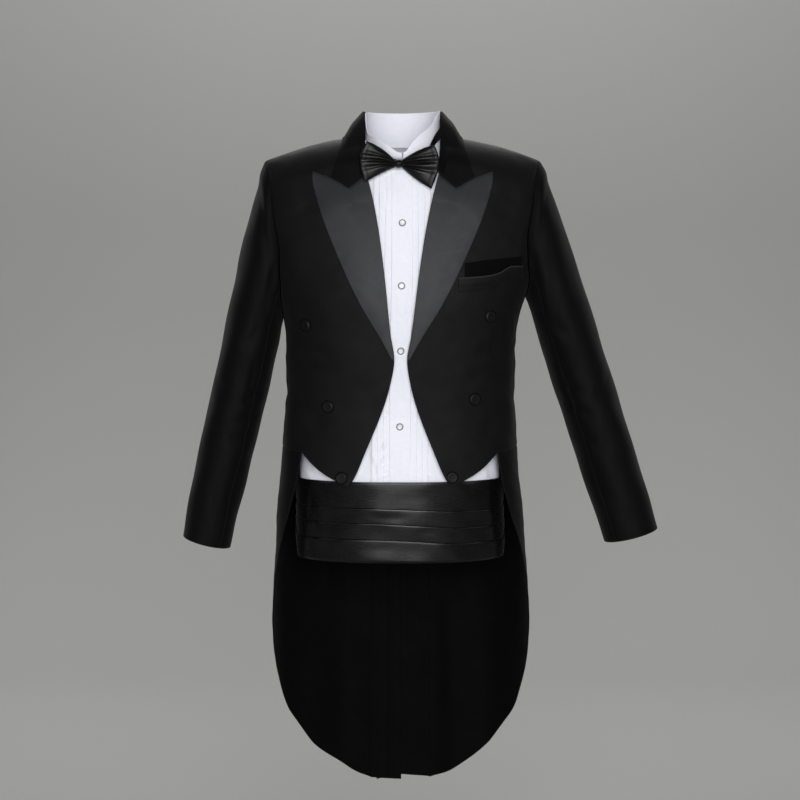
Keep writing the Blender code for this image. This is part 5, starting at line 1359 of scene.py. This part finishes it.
def coat_seams(wearer):
    """Every edge of one side of the coat, as on the wearer's left."""
    front_arm = arm_run(wearer, 0.0, SIDE_PANEL_FROM)
    under_arm = arm_run(wearer, SIDE_PANEL_FROM, SIDE_PANEL_TO)
    back_arm = arm_run(wearer, LOOP_END, SIDE_PANEL_TO)
    foot = coat.side_place(np.array(SIDE_SEAM_FOOT["turn"]), np.array(SIDE_SEAM_FOOT["z"]))
    waist = coat.place(*BACK_SEAM_WAIST, True)
    corner = coat.place(*FRONT_CORNER)
    point = coat.place(FRONT_EDGE[-1]["x"], FRONT_EDGE[-1]["z"])
    back_line = straight(back_arm(np.array([1.0]))[0], waist)
    hem_line = straight(point, corner)

    def back_seam(share):
        return back_line(share) + np.stack([BACK_SEAM_BEND * np.sin(np.pi * share), 0 * share], -1)

    def hem(share):
        sag = FRONT_HEM_SAG / SHOULDER_ROLL * np.sin(np.pi * share)
        return hem_line(share) + np.stack([0 * share, sag], -1)

    side_seam = straight(front_arm(np.array([1.0]))[0], foot)
    waist_front = straight(corner, foot)
    waist_side = straight(foot, waist)
    strip = straight(waist, coat.place(*STRIP_HEM, True))
    return front_arm, under_arm, back_arm, side_seam, back_seam, hem, waist_front, waist_side, strip


def front_inner_edge(share):
    z = mix(FRONT_EDGE[0]["z"], FRONT_EDGE[-1]["z"], np.asarray(share) ** NECK_CROWDING)
    spots = coat.place(front_x(z), z)
    spots[:, 1] = np.where(share <= 0, RIDGE_FALL, spots[:, 1])
    return spots


def coat_back_top(wearer):
    """From the armhole's top along the shoulder and round the back of the neck."""
    shoulder = [armhole(wearer, LOOP_END)[0], RIDGE_FALL]
    neck_point = [neckline(coat, COAT_NECK, NECK_SIDE)[0], RIDGE_FALL]

    def neck(share):
        return neckline(coat, COAT_NECK, mix(NECK_SIDE, 180.0, np.asarray(share)))

    return joined((4, straight(shoulder, neck_point)), (4, neck))


def coat_centre(wearer):
    """The centre back, and below the vent's top the edge of the lap."""
    lap = VENT_LAP if wearer == "left" else 0.0
    waist_at = BACK_ARM + SIDE_RUN

    def read(share):
        at = np.asarray(share) * (waist_at + TAIL_RUN)
        below = np.maximum(at - waist_at, 0) / TAIL_RUN
        z = np.where(below > 0, mix(VENT_TOP, CENTRE_HEM, below), mix(BACK_NECK_Z, VENT_TOP, at / waist_at))
        spots = coat.place(lap * np.clip(at - waist_at, 0, 1), z, True)
        spots[:, 0] = 360 - spots[:, 0]
        spots[:, 1] = np.where(share <= 0, neckline(coat, COAT_NECK, 180.0)[1], spots[:, 1])
        return spots

    return read


def run_of(rows, column, share):
    """Evenly from a table's first value in one column to its last."""
    return mix(rows[0][column], rows[-1][column], np.asarray(share))


def tail_front(share):
    z = run_of(TAIL_FRONT_EDGE, "z", share)
    return coat.side_place(curve(TAIL_FRONT_EDGE, "z", "turn")(z), z)


def tail_hem(share):
    x = run_of(TAIL_HEM, "x", share)
    return coat.place(x, curve(TAIL_HEM, "x", "z")(x), True)


def vent_stand(base):
    """The left back stands off the right one where it laps it."""
    near = ease((VENT_STAND_FROM - (base[..., 0] - coat.sway(base[..., 2]))) / VENT_STAND_OVER)
    low = ease((VENT_TOP + VENT_STAND_ABOVE - base[..., 2]) / VENT_STAND_RISE)
    return VENT_STAND * near * low


CLOTH_LINE = 0.005
LONG_LINE = 0.006
# Each panel: its four edges, its rough width and height with the corners on them, and its seams
for wearer in ("right", "left"):
    seams_of_side = coat_seams(wearer)
    front_arm, under_arm, back_arm, side_seam, back_seam, hem, waist_front, waist_side, strip = seams_of_side
    inner_top = front_inner_edge(np.array([0.0]))[0]
    front_top = straight((inner_top[0], RIDGE_FALL), (front_arm(np.array([0.0]))[0, 0], RIDGE_FALL))
    back_hem_start = strip(np.array([1.0]))[0]
    back_hem_end = coat_centre(wearer)(np.array([1.0]))[0]
    panels = {
        "coat_front": (
            patch(front_inner_edge, joined((FRONT_ARM, front_arm), (SIDE_RUN, side_seam)), front_top,
                  joined((HEM_RUN, hem), (WAIST_FRONT, waist_front)),
                  lines(0.20, CLOTH_LINE, (HEM_RUN / (HEM_RUN + WAIST_FRONT),)),
                  lines(0.56, CLOTH_LINE, (FRONT_ARM / (FRONT_ARM + SIDE_RUN),))),
            ("top", "right")),
        "coat_side": (
            patch(side_seam, back_seam, under_arm, waist_side,
                  lines(0.12, CLOTH_LINE), lines(0.24, CLOTH_LINE)),
            ("top", "left", "right", "bottom")),
        "coat_back": (
            patch(joined((BACK_ARM, back_arm), (SIDE_RUN, back_seam), (TAIL_RUN, strip)), coat_centre(wearer),
                  coat_back_top(wearer), straight(back_hem_start, back_hem_end),
                  lines(0.15, CLOTH_LINE, (0.5,)),
                  lines(1.10, LONG_LINE, (BACK_ARM / BACK_RUN, (BACK_ARM + SIDE_RUN) / BACK_RUN))),
            ("top", "left", "right")),
        "coat_tail": (
            patch(tail_front, strip,
                  joined((WAIST_FRONT, waist_front), (WAIST_SIDE, waist_side)), tail_hem,
                  lines(0.25, LONG_LINE, (WAIST_FRONT / (WAIST_FRONT + WAIST_SIDE),)),
                  lines(0.60, LONG_LINE)),
            ("top", "right")),
    }
    for stem, (grid, seams) in panels.items():
        if wearer == "right":
            grid = mirrored(grid)
        base, normal = coat.laid(grid)
        height = coat_relief(base, normal)
        if stem == "coat_back" and wearer == "left":
            height = height + vent_stand(base)
        # The fronts take the lit copy of the worsted: painted light that brightens the chest
        finish = lit_front_worsted if stem == "coat_front" else worsted
        cloth_piece(f"{stem}_{wearer}", base, normal, height, WOOL, finish,
                    seams=seams, reverse=shaded_worsted_reverse)


# The sleeves: the same worsted, each sewn from a top and an under sleeve, set into the
# armhole with a little fullness and left to hang in long folds to the cuff.

SLEEVE_SECTIONS = {
    "right": table("down out_x out_z in_x in_z", [
        (0.00, 0.2225, -0.0350, 0.1905, -0.2880),
        (0.06, 0.2320, -0.0700, 0.1965, -0.3030),
        (0.14, 0.2440, -0.1090, 0.1995, -0.3170),
        (0.24, 0.2590, -0.1640, 0.2030, -0.3350),
        (0.36, 0.2745, -0.2340, 0.2090, -0.3630),
        (0.50, 0.2915, -0.3150, 0.2210, -0.4140),
        (0.64, 0.3090, -0.3980, 0.2355, -0.4760),
        (0.78, 0.3275, -0.4820, 0.2515, -0.5420),
        (0.90, 0.3440, -0.5670, 0.2675, -0.6040),
        (1.00, 0.3563, -0.6370, 0.2802, -0.6570),
    ]),
    "left": table("down out_x out_z in_x in_z", [
        (0.00, 0.2225, -0.0350, 0.2000, -0.2520),
        (0.06, 0.2350, -0.0660, 0.2040, -0.2620),
        (0.14, 0.2490, -0.1040, 0.2085, -0.2760),
        (0.24, 0.2690, -0.1600, 0.2150, -0.2980),
        (0.36, 0.2925, -0.2310, 0.2265, -0.3360),
        (0.50, 0.3190, -0.3130, 0.2440, -0.3910),
        (0.64, 0.3460, -0.3980, 0.2640, -0.4530),
        (0.78, 0.3725, -0.4840, 0.2860, -0.5220),
        (0.90, 0.3970, -0.5670, 0.3090, -0.5920),
        (1.00, 0.4130, -0.6244, 0.3280, -0.6470),
    ]),
}
SLEEVE_DEPTHS = table("down y depth", [
    (0.00, 0.000, 0.124), (0.06, 0.001, 0.134), (0.14, 0.003, 0.142), (0.24, 0.005, 0.143),
    (0.36, 0.005, 0.139), (0.50, 0.002, 0.131), (0.64, -0.005, 0.122), (0.78, -0.014, 0.112),
    (0.90, -0.025, 0.103), (1.00, -0.034, 0.096),
])
SLEEVE_BLEND = 0.24
SLEEVE_CROWDING = 1.15
# The seams between top and under sleeve, by the angle round the loop from its top over the front
FORE_SEAM = SIDE_PANEL_FROM * 6 / 7
HIND_SEAM = 272.0
SLEEVE_CREASES = {
    "right": table(CREASE, [
        (-197, -190, -222, -292, -4, 6, -2.2), (-216, -236, -232, -330, 4, 7, 1.6),
        (-224, -290, -262, -330, 6, 9, -1.8), (-234, -350, -246, -440, -3, 6, -1.8),
        (-226, -395, -262, -418, 5, 6, -2.0), (-232, -425, -270, -452, 5, 7, -1.9),
        (-240, -462, -282, -478, 6, 8, -1.6), (-300, -380, -266, -424, -6, 10, -1.4),
        (-262, -500, -284, -600, 5, 9, -1.4), (-252, -150, -268, -270, 6, 13, -1.4),
    ]),
    "left": table(CREASE, [
        (198, -170, 214, -268, 4, 6, -2.2), (222, -220, 248, -330, -4, 8, 1.5),
        (232, -280, 272, -316, -6, 9, -1.8), (250, -352, 272, -440, 3, 6, -1.7),
        (252, -388, 294, -402, -5, 7, -1.9), (262, -420, 306, -440, -5, 7, -1.8),
        (276, -468, 316, -486, -5, 8, -1.5), (334, -370, 300, -418, 6, 10, -1.4),
        (304, -500, 332, -590, -5, 9, -1.3), (262, -140, 286, -262, -7, 13, -1.4),
    ]),
}


def sleeve_point(wearer, angle, down):
    """A sleeve's outer surface, by the angle round the armhole loop and the share down the arm."""
    angle, down = np.broadcast_arrays(np.asarray(angle, float), np.asarray(down, float))
    rows = SLEEVE_SECTIONS[wearer]
    out_x, out_z, in_x, in_z = [curve(rows, "down", name) for name in ("out_x", "out_z", "in_x", "in_z")]
    middle_y = curve(SLEEVE_DEPTHS, "down", "y")
    depth = curve(SLEEVE_DEPTHS, "down", "depth")

    def section(at):
        swing, forward = np.cos(np.radians(angle)), np.sin(np.radians(angle))
        x = (out_x(at) + in_x(at)) / 2 + (out_x(at) - in_x(at)) / 2 * swing
        z = (out_z(at) + in_z(at)) / 2 + (out_z(at) - in_z(at)) / 2 * swing
        return np.stack([x, middle_y(at) - depth(at) / 2 * forward, z], -1)

    loop_spot = armhole(wearer, angle % 360)
    sign = -1.0 if wearer == "right" else 1.0
    loop = coat.surface(sign * loop_spot[..., 0], loop_spot[..., 1])
    way = coat.normal(sign * loop_spot[..., 0], loop_spot[..., 1])
    loop = loop + way * coat_relief(loop, way)[..., None]
    loop[..., 0] = np.abs(loop[..., 0])
    share = np.clip(1 - np.maximum(down, 0) / SLEEVE_BLEND, 0, 1) ** 2
    spot = section(down) + (loop - section(np.zeros_like(down))) * share[..., None]
    return spot * np.array([sign, 1.0, 1.0])


# The sleeve head is eased in, so it stands a little proud of the seam round its top
HEAD_FULLNESS = 0.0030
HEAD_AT = 0.035
HEAD_LENGTH = 0.022
HEAD_TO = 110
HEAD_SOFT = 60
SLEEVE_WAVES = (0.0009, 0.11)
SLEEVE_HALVES = table("name start end width", [
    ("top", HIND_SEAM, 360 + FORE_SEAM, 0.24), ("under", FORE_SEAM, HIND_SEAM, 0.15),
])
for wearer in ("right", "left"):
    for half in SLEEVE_HALVES:
        angle = mix(half["start"], half["end"], lines(half["width"], CLOTH_LINE))[None]
        down = lines(0.62, CLOTH_LINE)[:, None] ** SLEEVE_CROWDING
        face = sleeve_point(wearer, angle, down)
        around = sleeve_point(wearer, angle + 1.0, down) - sleeve_point(wearer, angle - 1.0, down)
        along = sleeve_point(wearer, angle, np.minimum(down + 0.01, 1)) - sleeve_point(
            wearer, angle, np.maximum(down - 0.01, 0))
        centre = (sleeve_point(wearer, 0.0, down) + sleeve_point(wearer, 180.0, down)) / 2
        normal = facing_out(unit(np.cross(around, along)), face - centre)
        height = folded(face, normal, SLEEVE_CREASES[wearer]) + uneven(face, *SLEEVE_WAVES)
        height = height * ease(down / 0.05)
        from_top = np.abs((angle + 180) % 360 - 180)
        head = HEAD_FULLNESS * np.exp(-((down - HEAD_AT) / HEAD_LENGTH) ** 2)
        height = height + head * ease((HEAD_TO - from_top) / HEAD_SOFT)
        cloth_piece(f"coat_sleeve_{half['name']}_{wearer}", face, normal, height, WOOL, worsted,
                    seams=("top", "left", "right"), reverse=shaded_worsted_reverse)


# The coat's collar: worsted over canvas, standing at the back of the neck and folded
# over along a crease, so that it falls onto the coat and ends at the gorge on each side.

COLLAR_STATIONS = table("at neck crease edge", [
    (0.0, 180.0, (0.0000, 0.0670, 0.0420), 180.0),
    (1.0, 150.0, (0.0320, 0.0575, 0.0435), 150.0),
    (2.0, 120.0, (0.0545, 0.0350, 0.0460), 120.0),
    (3.0, NECK_SIDE, (0.0628, 0.0040, 0.0470), NECK_SIDE),
    (3.5, -0.004, (0.0627, -0.0090, 0.0420), (0.0955, -0.0011)),
    (4.0, -0.012, (0.0622, -0.0220, 0.0340), (0.0990, -0.0175)),
    (5.0, -0.030, (0.0605, -0.0450, 0.0100), (0.1045, -0.0350)),
    (6.0, -0.045, (0.0585, -0.0670, -0.0200), (0.1095, -0.0500)),
    (7.0, -0.056, (0.0565, -0.0865, -0.0525), (0.1140, -0.0615)),
])
COLLAR_FALL = {"half_width": 0.0925, "front": 0.0, "back": 0.0760}
GORGE = (0.0560, -0.0580)
NOTCH = (0.0840, -0.0780)
COLLAR_CORNER = (0.1140, -0.0620)
COLLAR_WALL = 0.0018
LAPEL_EDGE_LIFT = 0.0008
FALL_BULGE = 0.003
# How far the falling part clears the coat, from near the crease (3) out to its edge (6)
FALL_HEIGHTS = table("line height", [(3, 0.0040), (4, 0.0034), (5, 0.0024), (6, 0.0012)])


def on_coat(x, z, out):
    turn, fall = coat.place(x, z)
    return coat.surface(turn, fall) + coat.normal(turn, fall) * out


def collar_line(station):
    """The middle of the collar's cloth at one station: neck seam, stand, crease, fall and edge."""
    lift = LAP_GAP + COLLAR_WALL / 2
    where = station["neck"]
    if where > 0.0:
        neck_spot = neckline(coat, COAT_NECK, where)
        edge_spot = neckline(coat, COLLAR_FALL, station["edge"])
        neck = coat.surface(*neck_spot) + coat.normal(*neck_spot) * lift
        edge = coat.surface(*edge_spot) + coat.normal(*edge_spot) * lift
    else:
        neck = on_coat(front_x(where), where, lift)
        edge = on_coat(*station["edge"], lift)
    crease = np.array(station["crease"])
    if station is COLLAR_STATIONS[-1]:
        fall = on_coat(NOTCH[0], NOTCH[1], lift + LAPEL_EDGE_LIFT)
    else:
        fall = (crease + edge) / 2
        fall = fall + unit(np.array([fall[0], fall[1], 0.05])) * FALL_BULGE
    return [neck, (neck + crease) / 2, crease, (crease + fall) / 2, fall, (fall + edge) / 2, edge]


def through(values, at, where):
    """Rows of points, each coordinate read from a smooth curve through them."""
    values = np.asarray(values)
    flat = values.reshape(len(at), -1)
    columns = []
    for column in flat.T:
        columns.append(curve([{"at": a, "value": b} for a, b in zip(at, column)], "at", "value")(where))
    return np.stack(columns, -1).reshape(len(where), *values.shape[1:])


stations = [station["at"] for station in COLLAR_STATIONS]
along = lines(0.20, 0.0035) * stations[-1]
half_collar = through([collar_line(station) for station in COLLAR_STATIONS], stations, along)
profile = np.array(sorted(set(np.round(np.linspace(0, 6, 43), 3)) | {0.03, 0.08, 5.80, 5.90, 5.95}))
half_collar = np.moveaxis(through(np.moveaxis(half_collar, 1, 0), range(7), profile), 0, 1)
clearance = curve(FALL_HEIGHTS, "line", "height")(profile)
for j, line in enumerate(profile):
    if line < 2.6:
        continue
    spots = half_collar[:, j]
    for _ in range(4):
        behind = spots[:, 1] > 0
        x_from_centre = spots[:, 0] - coat.sway(spots[:, 2])
        below = coat.ridge(np.abs(spots[:, 0]), behind) >= spots[:, 2]
        turn, fall = np.moveaxis(coat.place(x_from_centre, spots[:, 2], behind), -1, 0)
        under = coat.surface(turn, fall)
        way = coat.normal(turn, fall)
        wanted = clearance[j] + COLLAR_WALL / 2 + coat_relief(under, way)
        short = wanted - ((spots - under) * way).sum(-1)
        spots = spots + way * np.where(below & (short > 0), short, 0)[:, None]
    half_collar[:, j] = spots
other_half = half_collar[:0:-1] * np.array([-1.0, 1.0, 1.0])
face = np.concatenate([other_half, half_collar])
normal = normals_of(face)
if normal[len(face) // 2, -4] @ np.array([0.0, 1.0, 0.0]) < 0:
    normal = -normal
cloth_piece("coat_collar", face, normal, COLLAR_WALL / 2, COLLAR_WALL, worsted)


# The lapels: peaked and faced in dull grey-black satin, turned back along the roll line
# down to the break. They lie on the fronts and stand off a little along their outer edge.

# The facing's satin is duller and paler than the tie's, and takes a broad grey light
lapel_satin = satin("dull grey-black facing satin", "#1E1F23", "#1A1B1F", 0.56, 0.36, ribs=0.2)
LAPEL_EDGE = table("z x", [
    (-0.0530, 0.1417), (-0.0633, 0.1418), (-0.0910, 0.1362), (-0.1340, 0.1220), (-0.2070, 0.0911),
    (-0.2595, 0.0653), (-0.3150, 0.0320), (-0.3470, 0.0145),
])
BREAK_Z = -0.348
LAPEL_WALL = 0.0018
LAPEL_BELLY = 0.0013
lapel_x = curve(LAPEL_EDGE, "z", "x")


def lapel_inner(share):
    z = mix(GORGE[1], BREAK_Z, np.asarray(share))
    return coat.place(front_x(z), z)


def lapel_outer(share):
    z = run_of(LAPEL_EDGE, "z", share)
    return coat.place(lapel_x(z), z)


def lapel_top(share):
    """From the gorge down to the notch, up beside the collar and out along the peak."""
    corners = np.array([GORGE, NOTCH, COLLAR_CORNER, (LAPEL_EDGE[0]["x"], LAPEL_EDGE[0]["z"])])
    at = np.asarray(share) * 3
    x = np.interp(at, range(4), corners[:, 0])
    z = np.interp(at, range(4), corners[:, 1])
    return coat.place(x, z)


u = lines(0.10, 0.0030, (1 / 3, 2 / 3))
v = lines(0.30, 0.0035)
lapel_bottom = straight(lapel_inner(np.array([1.0]))[0], lapel_outer(np.array([1.0]))[0])
lapel_grid = patch(lapel_inner, lapel_outer, lapel_top, lapel_bottom, u, v)
for wearer in ("right", "left"):
    grid = mirrored(lapel_grid) if wearer == "right" else lapel_grid
    base, normal = coat.laid(grid)
    down = v[:, None]
    belly = LAPEL_BELLY * np.sin(np.pi * u) * np.sqrt(1 - down) * np.minimum(down * 12, 2) / 2
    height = LAP_GAP + LAPEL_WALL + belly + LAPEL_EDGE_LIFT * u + coat_relief(base, normal)
    cloth_piece(f"coat_lapel_{wearer}", base, normal, height, LAPEL_WALL, lapel_satin,
                seams=("top",))


# The breast pocket on the wearer's left: a welt of the same worsted that droops open,
# and the strip of facing cloth that shows inside its mouth.

POCKET_TOP = table("x z", [(0.0985, -0.1965), (0.1340, -0.1916), (0.1900, -0.1860)])
WELT_TOP = table("x z", [
    (0.0885, -0.2195), (0.1340, -0.2156), (0.1490, -0.2121), (0.1740, -0.2005), (0.1925, -0.2010),
])
WELT_HEIGHT = 0.022
WELT_WALL = 0.0015
WELT_GAPE = 0.0028
FACING_WALL = 0.0010
FACING_BELOW = 0.004
# The share of the welt's height that lies over the facing, and how softly that ends
OVER_FACING = 0.75
OVER_FACING_SOFT = 0.3
pocket_z = curve(POCKET_TOP, "x", "z")
welt_z = curve(WELT_TOP, "x", "z")
u = lines(0.095, 0.003)
v = lines(0.030, 0.003)[:, None]
x = run_of(POCKET_TOP, "x", u)[None]
grid = coat.place(x, mix(pocket_z(x), welt_z(x) - FACING_BELOW, v))
base, normal = coat.laid(grid)
height = LAP_GAP + FACING_WALL + coat_relief(base, normal)
# The facing takes the darkened reverse of the worsted: painted shade inside the pocket's gaping mouth
cloth_piece("coat_pocket_facing", base, normal, height, FACING_WALL, shaded_worsted_reverse,
            seams=("top", "bottom", "left", "right"))
x = run_of(WELT_TOP, "x", u)[None]
grid = coat.place(x, welt_z(x) - WELT_HEIGHT * v)
base, normal = coat.laid(grid)
over_facing = (LAP_GAP + FACING_WALL) * ease((OVER_FACING - v) / OVER_FACING_SOFT)
gape = WELT_GAPE * np.sin(np.pi * u) * (1 - v)
height = LAP_GAP + WELT_WALL + over_facing + gape + coat_relief(base, normal)
# The welt's folded rim is painted much paler than the coat: a painted highlight where the rim turns up to the
# light
welt_rim_highlight = worsted_finish("worsted with a painted highlight at its rim", "#0A0A0B", "#060607", "#3A3A3E", 0.14)
cloth_piece("coat_pocket_welt", base, normal, height, WELT_WALL, welt_rim_highlight,
            seams=("bottom", "left", "right"))


# Six coat buttons, 20 mm across: flat-topped moulds covered in the coat's own cloth, gathered
# behind and sewn on for show.

COAT_BUTTON_RADIUS = 0.0100
COAT_BUTTON_PROFILE = ((0.00, 0.0038), (0.40, 0.0038), (0.58, 0.0039), (0.70, 0.0041), (0.78, 0.0039),
                       (0.86, 0.0033), (0.94, 0.0026), (0.99, 0.0019), (1.00, 0.0014), (0.97, 0.0007),
                       (0.90, 0.0002), (0.00, 0.0000))
COAT_BUTTONS = table("side x z", [
    ("right", 0.1505, -0.2949), ("right", 0.1138, -0.4232), ("right", 0.0923, -0.5365),
    ("left", 0.1403, -0.2805), ("left", 0.1180, -0.4113), ("left", 0.0833, -0.5352),
])
COAT_BUTTON_SIDES = 56
# Cloth drawn tight over the mould: the threads open a little and shine more than the coat's
COVER_THREAD = 0.0009
covered, covered_shader = new_finish("cloth-covered button mould", "#0B0B0C", {
    "Roughness": 0.42, "Specular IOR Level": 0.16,
})
place = own_place(covered)
scale = WAVE_PERIOD / COVER_THREAD
drawn_warp = add_node(covered, "ShaderNodeTexWave", {"Vector": place, "Scale": scale}, bands_direction="X")
drawn_weft = add_node(covered, "ShaderNodeTexWave", {"Vector": place, "Scale": scale}, bands_direction="Z")
drawn = add_node(covered, "ShaderNodeMath", {0: drawn_warp.outputs["Fac"], 1: drawn_weft.outputs["Fac"]},
                 operation="MULTIPLY")
set_inputs(covered, covered_shader, {"Normal": bumped(covered, drawn.outputs[0], 0.4, 0.0002)})
counts = {"right": 0, "left": 0}
for row in COAT_BUTTONS:
    wearer = row["side"]
    counts[wearer] += 1
    turn, fall = coat.place(-row["x"] if wearer == "right" else row["x"], row["z"])
    base = coat.surface(turn, fall)
    normal = coat.normal(turn, fall)
    seat = base + normal * (LAP_GAP + coat_relief(base[None], normal[None])[0])
    points, faces = turned(COAT_BUTTON_PROFILE, COAT_BUTTON_RADIUS, COAT_BUTTON_SIDES)
    node = f"coat_button_{wearer}_{counts[wearer]}"
    button = build(f"{node}_covered", set_on(points, seat, normal), faces, covered)
    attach(button, "root")
    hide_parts(node)
